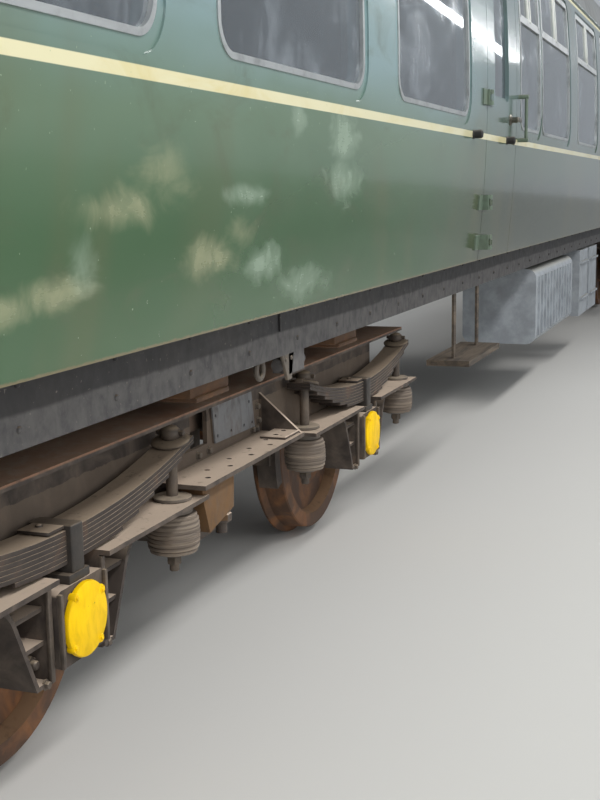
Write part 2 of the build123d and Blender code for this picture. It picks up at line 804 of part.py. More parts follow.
# Outlines of the hook and of a coupling link, as distance from the headstock and height above the buffers
hook_outline = ((0, -35), (150, -35), (190, -75), (260, -70), (300, -10), (290, 60), (255, 70), (250, 15),
                (215, 5), (195, 55), (150, 60), (0, 35))
link_outline = ((148, 2), (176, 2), (180, -420), (140, -420))
hook_half = 25
hook_pad = 90
link_gap = 2
link_thick = 25
# radius, half length, distance from the headstock and height of each cross pin
coupling_pins = ((16, 52, 162, -18), (22, 70, 160, -400))


def drawgear_plate(outline, y0, y1):
    """A flat piece of the coupling between two Y planes."""
    return plate_xz([(end_x + x, buffer_z + z) for x, z in outline], y0, y1)


coupling = [drawgear_plate(hook_outline, -hook_half, hook_half)]
coupling.append(box(end_x, end_x + base_thick, -hook_pad, hook_pad, buffer_z - hook_pad, buffer_z + hook_pad))
link_y = hook_half + link_gap
coupling += both_sides(drawgear_plate(link_outline, -link_y - link_thick, -link_y))
for radius, half, x, z in coupling_pins:
    coupling.append(rod_y(radius, end_x + x, -half, half, buffer_z + z))
save("drawgear", both_ends(fuse(coupling)))

# Inside: screens beside the doors, seats and luggage racks
screens = []
for x in (door_left - screen_from_door, door_right + screen_from_door - screen_thick):
    blank = box(x, x + screen_thick, -half_waist, -aisle_half, floor_z, floor_z + screen_height)
    blank &= side_shell(wall, half_waist, floor_z, floor_z + screen_height, x - 1, x + screen_thick + 1)
    for s in both_ends(blank):
        screens += both_sides(s)
save("draught_screens", screens)

seat_z = floor_z + seat_height
bench_y = (-side_y(floor_z, wall) + seat_gap, -aisle_half)
end_bay = inner_x - bogie_x
# reach of the seat frame, with seats that face the end or not, and that face the middle or not
benches = ((-0.46 * end_bay, 1, 1), (380, 1, 1), (2120, 1, 0), (3950, 1, 1), (5455, 1, 1), (bogie_x, 1, 0))
seat_frames, cushions = [], []


def cushion_pair(x, face):
    """A seat cushion and a back cushion on one side of a seat frame."""
    front = x + face * (seat_frame_half + seat_depth)
    back = x + face * (seat_frame_half + 0.5)
    base = box(back, front, *bench_y, seat_z - cushion_thick, seat_z)
    z0 = seat_z + 1
    foot = back + face * (back_thick + back_foot_extra)
    head = back + face * back_thick
    z1 = z0 + back_height
    lean = plate_xz([(back, z0), (foot, z0), (head, z1), (back, z1)], *bench_y)
    return [base, lean]


for reach, to_end, to_middle in benches:
    x = coach_x(reach)
    frame_top = seat_z + back_height + seat_leg / 4
    frame = box(x - seat_frame_half, x + seat_frame_half, *bench_y, floor_z, frame_top)
    tray_z = seat_z - cushion_thick - tray_thick
    for face, used in ((-1, to_end), (1, to_middle)):
        if used:
            tray = box(x, x + face * seat_depth, *bench_y, tray_z, tray_z + tray_thick)
            leg_x = x + face * seat_leg_reach
            leg_y = bench_y[1] - seat_leg / 2
            leg = box(leg_x, leg_x + face * seat_leg, leg_y - seat_leg, leg_y, floor_z, tray_z)
            frame = frame + tray + leg
            for piece in cushion_pair(x, face):
                for s in both_ends(piece):
                    cushions += both_sides(s)
    if reach == bogie_x:
        frame = fuse([frame, mirror(frame, about=Plane.YZ)])
        seat_frames += both_sides(frame)
    else:
        for s in both_ends(frame):
            seat_frames += both_sides(s)
save("seat_frames", seat_frames)
save("seat_cushions", cushions)

racks = []
middle_rack = door_right + rack_from_door
end_rack = (-inner_x + rack_from_end, door_left - rack_from_door)
bracket_along, bracket_high = rack_bracket
for x0, x1 in (end_rack, (middle_rack, -middle_rack), (-end_rack[1], -end_rack[0])):
    rails = [rod_x(rack_rail_radius, x0, x1, y, rack_z) for y in rack_rail_y]
    count = int((x1 - x0) // rack_bracket_pitch)
    for i in range(count + 1):
        x = x0 + 2.5 * bracket_along + i * (x1 - x0 - 5 * bracket_along) / count
        reach = rack_rail_y[0] + bracket_along
        bracket = Pos(x, 0, rack_z - bracket_high + 2) * Box(bracket_along, 2 * half_waist, bracket_high)
        bracket &= box(x - wall, x + wall, -half_waist, reach, rack_z - wall, rack_z + wall)
        bracket -= side_shell(-wall, wall, rack_z - 2 * wall, rack_z + wall, x - wall, x + wall)
        rails.append(bracket)
    racks += both_sides(fuse(rails))
save("luggage_racks", racks)

# Bogies, drawn about their own centre
half_base = wheelbase / 2


# Openings, plates and holes of a side frame, as X from its middle and height
web_opening = [(-350, 690), (-165, 690), (-165, 850), (-350, 850)]
cover_plate = [(-120, 682), (245, 676), (205, 868), (-150, 868)]
cover_screws = [(-100, 705), (20, 702), (140, 699), (218, 696), (192, 780),
                (182, 848), (20, 848), (-125, 848), (-115, 780)]
# X and distance from the middle of the bogie of the holes that zigzag along the bottom flange
flange_holes = [(-464, 1063), (-365, 1015), (-283, 1063), (-182, 1015),
                (-100, 1063), (-2, 1015), (82, 1063), (160, 1015)]
wear_pad = (175, 325)
wear_pad_y = (-1088, -985)
screw_radius = 7
hole_radius = 10
link_block = [(-535, 631), (-283, 631), (-287, 507), (-484, 467), (-534, 594)]
link_block_y = (-1075, -955)
link_pin_x = -262
link_pin_radius = 20
link_pin_foot = 404
# foot and head of each nut on the link pin
link_nuts = ((444, 474), (481, 523), (590, 631))
link_nut_radius = 37
frame_cross_z = (640, 870)
frame_cross_half = 60
headstock_z_low = 770


def lower_flange_plate():
    """The drilled bottom flange with its wear pad and the gusset at its end."""
    flange = box(*lower_flange, -lower_flange_y, -web_y, lower_flange_z - flange_plate, lower_flange_z)
    for x, y in flange_holes:
        flange -= rod_z(hole_radius, x, -y, lower_flange_z - flange_plate - 1, lower_flange_z + 1)
    pad = box(*wear_pad, *wear_pad_y, lower_flange_z - 1, lower_flange_z + 11)
    pad = chamfer(pad.edges().group_by(Axis.Z)[-1], 3)
    for x in (wear_pad[0] + 35, wear_pad[1] - 35):
        pad -= rod_z(hole_radius, x, sum(wear_pad_y) / 2, lower_flange_z + 3, lower_flange_z + 12)
    gusset_plane = Plane(origin=(lower_flange[1] - flange_plate, 0, 0), x_dir=(0, 1, 0), z_dir=(1, 0, 0))
    corner = (-web_y + 1, lower_flange_z - 1)
    outline = [corner, (-lower_flange_y + 8, lower_flange_z - 1), (-web_y + 1, lower_flange_z + 150)]
    gusset = extrude(gusset_plane * make_face(Polyline(outline, close=True)), flange_plate)
    return [flange, pad, gusset]


def link_bracket():
    """The tapered block under the bottom flange, with its pin and stacked nuts."""
    y = sum(link_block_y) / 2
    parts = [plate_xz(link_block, *link_block_y)]
    parts.append(rod_z(link_pin_radius, link_pin_x, y, link_pin_foot, lower_flange_z - 3))
    for low, high in link_nuts:
        hexagon = extrude(Plane(origin=(link_pin_x, y, low)) * RegularPolygon(link_nut_radius, 6), high - low)
        parts.append(chamfer(hexagon.edges().group_by(Axis.Z)[-1], 4))
    return parts


def bogie_frame():
    """Side frames with horn guides and spring brackets, transoms and headstocks."""
    web = box(-frame_half, frame_half, -web_y, -web_y + web_thick, frame_bottom_z, frame_top_z)
    web -= plate_xz(web_opening, -web_y - web_thick, -web_y + 2 * web_thick)
    parts = [web]
    parts.append(box(-frame_half, frame_half, -flange_y, -web_y, frame_top_z - flange_plate, frame_top_z))
    cover = plate_xz(cover_plate, -web_y - 12, -web_y + 1)
    for x, z in cover_screws:
        cover -= rod_y(screw_radius, x, -web_y - 13, -web_y - 6, z)
    parts += [cover] + lower_flange_plate() + link_bracket()
    for axle in (-half_base, half_base):
        for face in (-1, 1):
            parts += horn_guide(axle, face)
    side = fuse(parts)
    members = both_sides(side)
    for x in (-transom_x, transom_x):
        members.append(box(x - frame_cross_half, x + frame_cross_half, -web_y + web_thick, web_y - web_thick,
                           *frame_cross_z))
    for sign in (-1, 1):
        members.append(box(sign * (frame_half - 60), sign * frame_half, -web_y + web_thick, web_y - web_thick,
                           headstock_z_low, frame_top_z))
    return fuse(members)


def horn_guide(axle, face):
    """One ribbed pedestal beside an axlebox, with the arm out to its spring hanger."""
    near = axle + face * (box_half + horn_gap)
    y0, y1 = -horn_face_y, -web_y
    # The outer edge leans out in a straight line, then bends level into the underside of the arm
    centre = (horn_top_reach, frame_bottom_z - horn_bend_radius)
    across_bend, rise = centre[0] - horn_bottom_reach, centre[1] - horn_z
    lean = atan2(rise, across_bend) + asin(horn_bend_radius / hypot(across_bend, rise))

    def edge_points(inset):
        """Foot, knee, bend and top of the outer edge, moved inwards by an inset."""
        radius = horn_bend_radius + inset
        turns = (lean + pi / 2, lean / 2 + pi / 2, pi / 2)
        bend = [(centre[0] + radius * cos(a), centre[1] + radius * sin(a)) for a in turns]
        foot = (horn_bottom_reach - inset * sin(lean), horn_z + inset * cos(lean))
        return [(axle + face * x, z) for x, z in [foot] + bend]

    def horn_plate(rim, front, back):
        """The horn between two Y planes: a sheet with its outer edge, closed round by a rim of points."""
        foot, *bend = edge_points(0)
        edges = [Line(foot, bend[0]), ThreePointArc(*bend)] + rim
        plane = Plane(origin=(0, back, 0), x_dir=(1, 0, 0), z_dir=(0, -1, 0))
        return extrude(plane * make_face(edges), back - front)

    foot, knee, _, top = edge_points(0)
    foot_in, *bend_in = edge_points(horn_wall)
    sheet_z = frame_bottom_z + horn_wall / 2
    sheet_rim = Polyline(top, (top[0], sheet_z), (near, sheet_z), (near, horn_z), foot).edges()
    wall_rim = [Line(top, bend_in[-1]), ThreePointArc(*bend_in)]
    wall_rim += Polyline(bend_in[0], foot_in, foot).edges()
    parts = [horn_plate(list(sheet_rim), -web_y - horn_sheet[0], -web_y - horn_sheet[1])]
    parts.append(horn_plate(wall_rim, y0, y1))
    parts.append(box(near, near + face * horn_wall, y0, y1, horn_z, sheet_z))
    parts.append(box(near, foot[0], y0, y1, horn_z, horn_z + horn_rib))
    for z in horn_rib_levels:
        reach = foot[0] + (knee[0] - foot[0]) * (z - horn_z) / (knee[1] - horn_z)
        parts.append(box(near, reach, y0 + horn_rib, y1, z, z + horn_rib))
    hole = axle + face * hanger_x
    tip = axle + face * (hanger_x + arm_end)
    arm = box(near, tip, -flange_y, y1, frame_bottom_z, frame_bottom_z + horn_wall)
    arm -= rod_z(rod_radius + 1, hole, -spring_y, frame_bottom_z - 1, frame_bottom_z + horn_wall + 1)
    parts.append(arm)
    return parts


def leaf_springs():
    """Four leaf springs, each with its buckle."""
    radius = (hanger_x ** 2 + spring_rise ** 2) / (2 * spring_rise)
    springs = []
    for axle in (-half_base, half_base):
        leaves = []
        for i, half in enumerate(leaf_halves):
            r0 = radius + i * leaf_thick
            r1 = r0 + leaf_thick
            turn = asin(half / r0)
            cz = spring_top_z + radius
            ends = []
            for r in (r0, r1):
                ends.append([(axle + r * sin(a), cz - r * cos(a)) for a in (-turn, 0, turn)])
            edges = [ThreePointArc(*ends[0]), Line(ends[0][2], ends[1][2]), ThreePointArc(*ends[1]),
                     Line(ends[1][0], ends[0][0])]
            plane = Plane(origin=(0, -spring_y + spring_width / 2, 0), x_dir=(1, 0, 0), z_dir=(0, -1, 0))
            leaves.append(extrude(plane * make_face(edges), spring_width))
        pack = fuse(leaves)
        low = spring_top_z - leaf_thick * len(leaf_halves)
        buckle = box(axle - buckle_half[0], axle + buckle_half[0], -spring_y - buckle_half[1],
                     -spring_y + buckle_half[1], box_z[1], spring_top_z + leaf_thick)
        pack = pack + buckle
        high = spring_top_z + 2 * spring_rise
        for face in (-1, 1):
            pack -= rod_z(rod_radius + 1, axle + face * hanger_x, -spring_y, low, high)
        springs += both_sides(pack)
    return springs


def hangers():
    """Spring hanger rods with their knobs, saddles and nuts."""
    rods = []
    top = spring_top_z + spring_rise
    saddle_z = (top + leaf_thick, top + leaf_thick + saddle_thick)
    knob_z = (saddle_z[1] - 2, saddle_z[1] - 2 + knob_height)
    nut_z = (pot_z - pot_foot - nut_height, pot_z - pot_foot)
    for axle in (-half_base, half_base):
        for face in (-1, 1):
            x = axle + face * hanger_x
            stack = ((rod_radius, rod_bottom_z, top + leaf_thick), (saddle_radius, *saddle_z),
                     (knob_radius, *knob_z), (nut_radius, *nut_z))
            rods += both_sides(fuse([rod_z(r, x, -spring_y, low, high) for r, low, high in stack]))
    return rods


def pots():
    """Layered rubber springs under the bracket arms."""
    rings = []
    layer = pot_height / pot_layers
    top = pot_z + pot_height
    for axle in (-half_base, half_base):
        for face in (-1, 1):
            x = axle + face * hanger_x
            stack = [rod_z(pot_foot_radius, x, -spring_y, pot_z - pot_foot, pot_z),
                     rod_z(pot_cap_radius, x, -spring_y, top, frame_bottom_z)]
            for i in range(pot_layers):
                z = pot_z + i * layer
                stack.append(rod_z(pot_radius, x, -spring_y, z, z + layer * 0.7))
                stack.append(rod_z(pot_radius - pot_neck, x, -spring_y, z + layer * 0.7, z + layer))
            bore = rod_z(rod_radius + 1, x, -spring_y, pot_z - pot_foot - 1, frame_bottom_z + 1)
            rings += both_sides(fuse(stack) - bore)
    return rings


def axleboxes():
    """Four axlebox housings with their journal bores."""
    boxes = []
    for axle in (-half_base, half_base):
        case = box(axle - box_half, axle + box_half, -box_y[1], -box_y[0], *box_z)
        case = fillet(case.edges().filter_by(Axis.Y), box_corner)
        case -= rod_y(journal_radius + journal_clearance, axle, -box_y[1] + box_front, -box_y[0] + 1, axle_z)
        boxes += both_sides(case)
    return boxes


def covers():
    """Round end covers of the axleboxes with their bolt lugs."""
    caps = []
    for axle in (-half_base, half_base):
        cap = rod_y(cover_radius, axle, -box_y[1] - cover_thick, -box_y[1], axle_z)
        for quarter in range(4):
            a = radians(45 + 90 * quarter)
            cap += rod_y(lug_radius, axle + cover_radius * cos(a), -box_y[1] - cover_thick - 4, -box_y[1],
                         axle_z + cover_radius * sin(a))
        caps += both_sides(cap)
    return caps


def bolster():
    """Bolster with its centre plate, on springs that stand on the spring plank."""
    half_x, half_y = bolster_half
    parts = [box(-half_x, half_x, -half_y, half_y, *bolster_z)]
    parts.append(rod_z(pivot_radius + plank_thick, 0, 0, bolster_z[1], bolster_top_z))
    half_x, half_y = plank_half
    parts.append(box(-half_x, half_x, -half_y, half_y, plank_z, plank_z + plank_thick))
    along, aside = bolster_spring_at
    for y in (-aside, aside):
        for x in (-along, along):
            parts.append(rod_z(bolster_spring_radius, x, y, plank_z + plank_thick, bolster_z[0]))
    return fuse(parts)


def brakes():
    """Brake blocks each side of every wheel, their hangers and cross beams."""
    r0 = tread_radius + brake_gap
    r1 = r0 + brake_thick
    span = radians(brake_span)
    inner_y = back_to_back / 2 + flange_thick + 8
    outer_y = back_to_back / 2 + tyre_width
    plane = Plane(origin=(0, -inner_y, 0), x_dir=(1, 0, 0), z_dir=(0, -1, 0))
    sets = []
    for axle in (-half_base, half_base):
        for face in (-1, 1):
            edges = []
            for r in (r0, r1):
                edges.append([(axle + face * r * cos(a), axle_z + r * sin(a)) for a in (-span, 0, span)])
            rim = [ThreePointArc(*edges[0]), Line(edges[0][2], edges[1][2]), ThreePointArc(*edges[1]),
                   Line(edges[1][0], edges[0][0])]
            block = extrude(plane * make_face(rim), outer_y - inner_y)
            back = axle + face * (r1 - 6)
            bar_x = (back, back + face * brake_hanger)
            low, high = axle_z + brake_beam_z[0], axle_z + brake_beam_z[1]
            hanger_y = -inner_y - 20
            pad_hanger = box(*bar_x, -outer_y + 20, hanger_y, low, brake_hanger_top)
            arm = box(*bar_x, -web_y + web_thick, hanger_y, brake_hanger_top - plank_thick, brake_hanger_top)
            beam = box(*bar_x, -inner_y - brake_hanger, inner_y + brake_hanger, low, high)
            sets.append(fuse(both_sides(fuse([block, pad_hanger, arm])) + [beam]))
    return sets


def wheelset():
    """An axle with two flanged wheels, turned about Y."""
    back = back_to_back / 2
    face = back + tyre_width
    mid = back + tyre_width / 2
    rim = tread_radius - tyre_thick
    # y and radius of the turned half section
    outline = [(0, 0), (0, axle_radius), (back - 30, axle_radius), (back - 30, hub_radius),
               (mid - disc_thick / 2, hub_radius + 25), (mid - disc_thick / 2, rim - 12), (back, rim),
               (back, tread_radius + flange_depth - 12), (back + 10, tread_radius + flange_depth),
               (back + 20, tread_radius + flange_depth), (back + flange_thick + 6, tread_radius + 1.5),
               (face - 5, tread_radius - 4), (face, tread_radius - 9), (face, rim),
               (mid + disc_thick / 2, rim - 12), (mid + disc_thick / 2, hub_radius + 25),
               (face + 20, hub_radius), (face + 20, axle_radius - 5), (box_y[0] - 20, axle_radius - 5),
               (box_y[0] - 20, journal_radius), (box_y[1] - 50, journal_radius), (box_y[1] - 50, 0)]
    plane = Plane(origin=(0, 0, 0), x_dir=(0, 1, 0), z_dir=(1, 0, 0))
    half = revolve(plane * make_face(Polyline(outline, close=True)), Axis.Y, 360)
    return Pos(0, 0, axle_z) * half.fuse(mirror(half, about=Plane.XZ)).clean()


bogie_nodes = (("frame", bogie_frame()), ("leaf_springs", leaf_springs()), ("spring_hangers", hangers()),
               ("rubber_springs", pots()), ("axleboxes", axleboxes()), ("axlebox_covers", covers()),
               ("bolster", bolster()), ("brakes", brakes()))
wheels = wheelset()
for place, x in (("front", -bogie_x), ("rear", bogie_x)):
    for node, shape in bogie_nodes:
        save(f"bogie_{place}_{node}", shape, x)
    outward = -1 if x < 0 else 1
    save(f"wheelset_{place}_outer", wheels, x + outward * half_base)
    save(f"wheelset_{place}_inner", wheels, x - outward * half_base)
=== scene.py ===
"""Dress the passenger coach: finishes for every piece of the frame, and the finer pieces over it.

Sizes are in metres, in the frame's own axes: X along the coach, Y across it and Z up from the
level that the wheel flanges stand on. The side that the camera sees is the -Y side.
"""
from __future__ import annotations

import json
import logging
from contextlib import contextmanager
from dataclasses import dataclass
from enum import Enum
from itertools import pairwise
from math import asin, atan2, cos, hypot, pi, radians, sin
from typing import Callable, Iterator, Sequence, Union

import bmesh
import bpy
from mathutils import Matrix, Vector

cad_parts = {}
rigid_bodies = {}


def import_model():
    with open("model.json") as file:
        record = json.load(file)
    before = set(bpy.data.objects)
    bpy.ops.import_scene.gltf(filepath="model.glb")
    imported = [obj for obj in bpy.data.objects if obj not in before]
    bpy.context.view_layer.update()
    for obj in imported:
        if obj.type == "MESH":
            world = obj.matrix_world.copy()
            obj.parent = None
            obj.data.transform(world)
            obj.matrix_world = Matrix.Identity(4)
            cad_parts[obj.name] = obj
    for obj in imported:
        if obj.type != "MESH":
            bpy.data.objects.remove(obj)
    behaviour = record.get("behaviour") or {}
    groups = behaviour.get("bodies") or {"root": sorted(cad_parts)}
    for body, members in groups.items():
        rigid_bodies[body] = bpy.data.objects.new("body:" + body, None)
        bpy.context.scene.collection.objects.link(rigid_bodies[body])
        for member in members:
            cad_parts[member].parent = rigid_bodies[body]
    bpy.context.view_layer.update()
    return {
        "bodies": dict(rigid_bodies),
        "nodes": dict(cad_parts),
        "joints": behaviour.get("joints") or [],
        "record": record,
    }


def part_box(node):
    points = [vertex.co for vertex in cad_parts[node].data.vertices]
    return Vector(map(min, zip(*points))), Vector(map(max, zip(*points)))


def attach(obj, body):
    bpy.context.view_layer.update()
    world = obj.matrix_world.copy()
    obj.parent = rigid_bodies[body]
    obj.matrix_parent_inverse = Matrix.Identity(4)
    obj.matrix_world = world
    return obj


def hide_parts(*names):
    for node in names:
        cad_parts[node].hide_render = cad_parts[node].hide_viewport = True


log = logging.getLogger("coach")

Point = tuple[float, float, float]
Colour = tuple[float, float, float]
Piece = bpy.types.Object
Socket = bpy.types.NodeSocket
Value = Union[Socket, float, tuple]


# Modelling tools


class Axis(Enum):
    """The axis that a turned piece is built round."""

    X = "X"
    Y = "Y"
    Z = "Z"


def select(*pieces: Piece) -> None:
    """Select these pieces only, the last one active."""
    bpy.ops.object.select_all(action="DESELECT")
    for piece in pieces:
        piece.select_set(True)
    bpy.context.view_layer.objects.active = pieces[-1]


@contextmanager
def editing(piece: Piece) -> Iterator[bmesh.types.BMesh]:
    """Open a piece in edit mode with nothing selected.

    Args:
        piece: The piece to edit.

    Yields:
        Its edit mesh.
    """
    select(piece)
    bpy.ops.object.mode_set(mode="EDIT")
    bpy.ops.mesh.select_mode(type="FACE")
    bpy.ops.mesh.select_all(action="DESELECT")
    yield bmesh.from_edit_mesh(piece.data)
    bpy.ops.object.mode_set(mode="OBJECT")


def pick_faces(mesh: bmesh.types.BMesh, test: Callable[[bmesh.types.BMFace], bool]) -> None:
    """Select the faces that pass a test, and no others.

    Args:
        mesh: The edit mesh.
        test: What a face has to pass.
    """
    mesh.faces.ensure_lookup_table()
    for face in mesh.faces:
        face.select_set(False)
    for face in mesh.faces:
        if test(face):
            face.select_set(True)


def finish_mesh(piece: Piece, angle: float = 35) -> Piece:
    """Merge doubles, point the faces outwards and shade a piece smooth below an angle.

    Args:
        piece: The piece to clean.
        angle: The angle in degrees above which an edge stays sharp.

    Returns:
        The same piece.
    """
    select(piece)
    bpy.ops.object.mode_set(mode="EDIT")
    bpy.ops.mesh.select_all(action="SELECT")
    bpy.ops.mesh.remove_doubles(threshold=0.00005)
    bpy.ops.mesh.normals_make_consistent(inside=False)
    bpy.ops.object.mode_set(mode="OBJECT")
    bpy.ops.object.shade_smooth_by_angle(angle=radians(angle))
    return piece


def apply_modifier(piece: Piece, kind: str, **settings: object) -> Piece:
    """Add one modifier to a piece and apply it.

    Args:
        piece: The piece to change.
        kind: The modifier's type.
        settings: The modifier's own settings.

    Returns:
        The same piece.
    """
    modifier = piece.modifiers.new(kind.title(), kind)
    for key, value in settings.items():
        setattr(modifier, key, value)
    select(piece)
    bpy.ops.object.modifier_apply(modifier=modifier.name)
    return piece


def bevelled(piece: Piece, width: float, segments: int = 2) -> Piece:
    """Round the edges of a piece that are sharper than 30 degrees.

    Args:
        piece: The piece to round.
        width: How far the rounding reaches from each edge.
        segments: How many strips make the rounding.

    Returns:
        The same piece.
    """
    apply_modifier(piece, "BEVEL", width=width, segments=segments, limit_method="ANGLE",
                   angle_limit=radians(30))
    return finish_mesh(piece)


def block(low: Point, high: Point, bevel: float = 0.0, segments: int = 2) -> Piece:
    """A block between two corners, with rounded edges.

    Args:
        low: Its lowest corner.
        high: Its highest corner.
        bevel: The width of the edge rounding, or 0 for none.
        segments: How many strips make the rounding.

    Returns:
        The new block.
    """
    centre = [(a + b) / 2 for a, b in zip(low, high)]
    size = [b - a for a, b in zip(low, high)]
    bpy.ops.mesh.primitive_cube_add(size=1, location=centre, scale=size)
    bpy.ops.object.transform_apply(location=True, rotation=True, scale=True)
    piece = bpy.context.object
    return bevelled(piece, bevel, segments) if bevel else piece


def plane(centre: Point, size: tuple[float, float], rotation: Point = (0, 0, 0)) -> Piece:
    """A flat sheet to build on.

    Args:
        centre: Its middle.
        size: Its size along its own X and Y, before it is turned.
        rotation: How it is turned, in radians.

    Returns:
        The new sheet.
    """
    bpy.ops.mesh.primitive_plane_add(size=1, location=centre, rotation=rotation)
    piece = bpy.context.object
    piece.scale = (*size, 1)
    bpy.ops.object.transform_apply(location=True, rotation=True, scale=True)
    return piece


def turned(profile: Sequence[tuple[float, float]], centre: Point, axis: Axis = Axis.Z, sides: int = 32,
           flip: bool = False, angle: float = 35) -> Piece:
    """A solid turned round an axis, from its first end to its last.

    Args:
        profile: Pairs of radius and distance along the axis.
        centre: Where the distance is zero, on the axis.
        axis: The axis that it is turned round.
        sides: How many flats go round it.
        flip: True where distances run towards the negative end of the axis.
        angle: The angle in degrees above which an edge stays sharp.

    Returns:
        The new solid.
    """
    radius, start = profile[0]
    bpy.ops.mesh.primitive_circle_add(vertices=sides, radius=radius, fill_type="NGON",
                                      location=(0, 0, start))
    bpy.ops.object.transform_apply(location=True, rotation=False, scale=False)
    piece = bpy.context.object
    bpy.ops.object.mode_set(mode="EDIT")
    bpy.ops.mesh.select_mode(type="FACE")
    bpy.ops.mesh.select_all(action="SELECT")
    for (r0, z0), (r1, z1) in pairwise(profile):
        bpy.ops.mesh.extrude_region_move(TRANSFORM_OT_translate={"value": (0, 0, z1 - z0)})
        if r1 != r0:
            share = r1 / r0
            bpy.ops.transform.resize(value=(share, share, 1), center_override=(0, 0, z1))
    bpy.ops.object.mode_set(mode="OBJECT")
    turn = {Axis.X: Matrix.Rotation(pi / 2, 4, "Y"), Axis.Y: Matrix.Rotation(-pi / 2, 4, "X"),
            Axis.Z: Matrix.Identity(4)}[axis]
    if flip:
        turn = turn @ Matrix.Rotation(pi, 4, "X")
    piece.data.transform(Matrix.Translation(centre) @ turn)
    return finish_mesh(piece, angle)


def hexagon_bolt(radius: float, centre: Point, axis: Axis = Axis.Z, flip: bool = False) -> Piece:
    """A bolt head with a chamfered crown on a washer.

    Args:
        radius: The radius to its corners.
        centre: The middle of its seat.
        axis: The axis of its shank.
        flip: True where the head points to the negative end of the axis.

    Returns:
        The new bolt head.
    """
    wide, thick = radius * 1.3, radius * 0.2
    washer = turned([(wide, -thick), (wide, thick)], centre, axis, 14, flip)
    crown = [(radius, 0), (radius, radius * 0.95), (radius * 0.82, radius * 1.15)]
    head = turned(crown, centre, axis, 6, flip)
    return joined([washer, head])


def rivet(radius: float, centre: Point, axis: Axis = Axis.Z, flip: bool = False) -> Piece:
    """A domed rivet head.

    Args:
        radius: The radius of its foot.
        centre: The middle of its foot.
        axis: The axis of its shank.
        flip: True where the head points to the negative end of the axis.

    Returns:
        The new rivet.
    """
    # shares of the radius: how wide the dome is, and how high
    shares = ((1.0, -0.3), (1.0, 0.1), (0.85, 0.5), (0.45, 0.75))
    return turned([(radius * wide, radius * high) for wide, high in shares], centre, axis, 10, flip, 60)


def joined(pieces: Sequence[Piece]) -> Piece:
    """Make one piece of several."""
    select(*pieces)
    if len(pieces) > 1:
        bpy.ops.object.join()
    return bpy.context.object


def copied(piece: Piece, shift: Point = (0, 0, 0), half_turn: bool = False) -> Piece:
    """A copy with its own mesh.

    Args:
        piece: The piece to copy.
        shift: How far to move the copy.
        half_turn: True to turn the copy by half a turn about the upright axis.

    Returns:
        The copy.
    """
    copy = piece.copy()
    copy.data = piece.data.copy()
    bpy.context.scene.collection.objects.link(copy)
    move = Matrix.Translation(shift)
    if half_turn:
        move = move @ Matrix.Rotation(pi, 4, "Z")
    copy.data.transform(move)
    return copy


def with_mirror(piece: Piece) -> Piece:
    """A piece joined to its mirror image along the coach."""
    return joined([piece, mirrored(piece, 0)])


def mirrored(piece: Piece, axis: int) -> Piece:
    """A mirror image of a piece, with its faces pointing outwards.

    Args:
        piece: The piece to mirror.
        axis: 0 to mirror along the coach, or 1 to mirror across it.

    Returns:
        The mirror image.
    """
    copy = piece.copy()
    copy.data = piece.data.copy()
    bpy.context.scene.collection.objects.link(copy)
    size = [1, 1, 1]
    size[axis] = -1
    copy.data.transform(Matrix.Diagonal((*size, 1)))
    copy.data.flip_normals()
    return copy


# Finishes


def srgb(red: int, green: int, blue: int) -> Colour:
    """A colour as seen on a screen, from 0 to 255, as the linear colour that shaders use."""
    parts = [c / 255 for c in (red, green, blue)]
    return tuple(c / 12.92 if c <= 0.04045 else ((c + 0.055) / 1.055) ** 2.4 for c in parts)


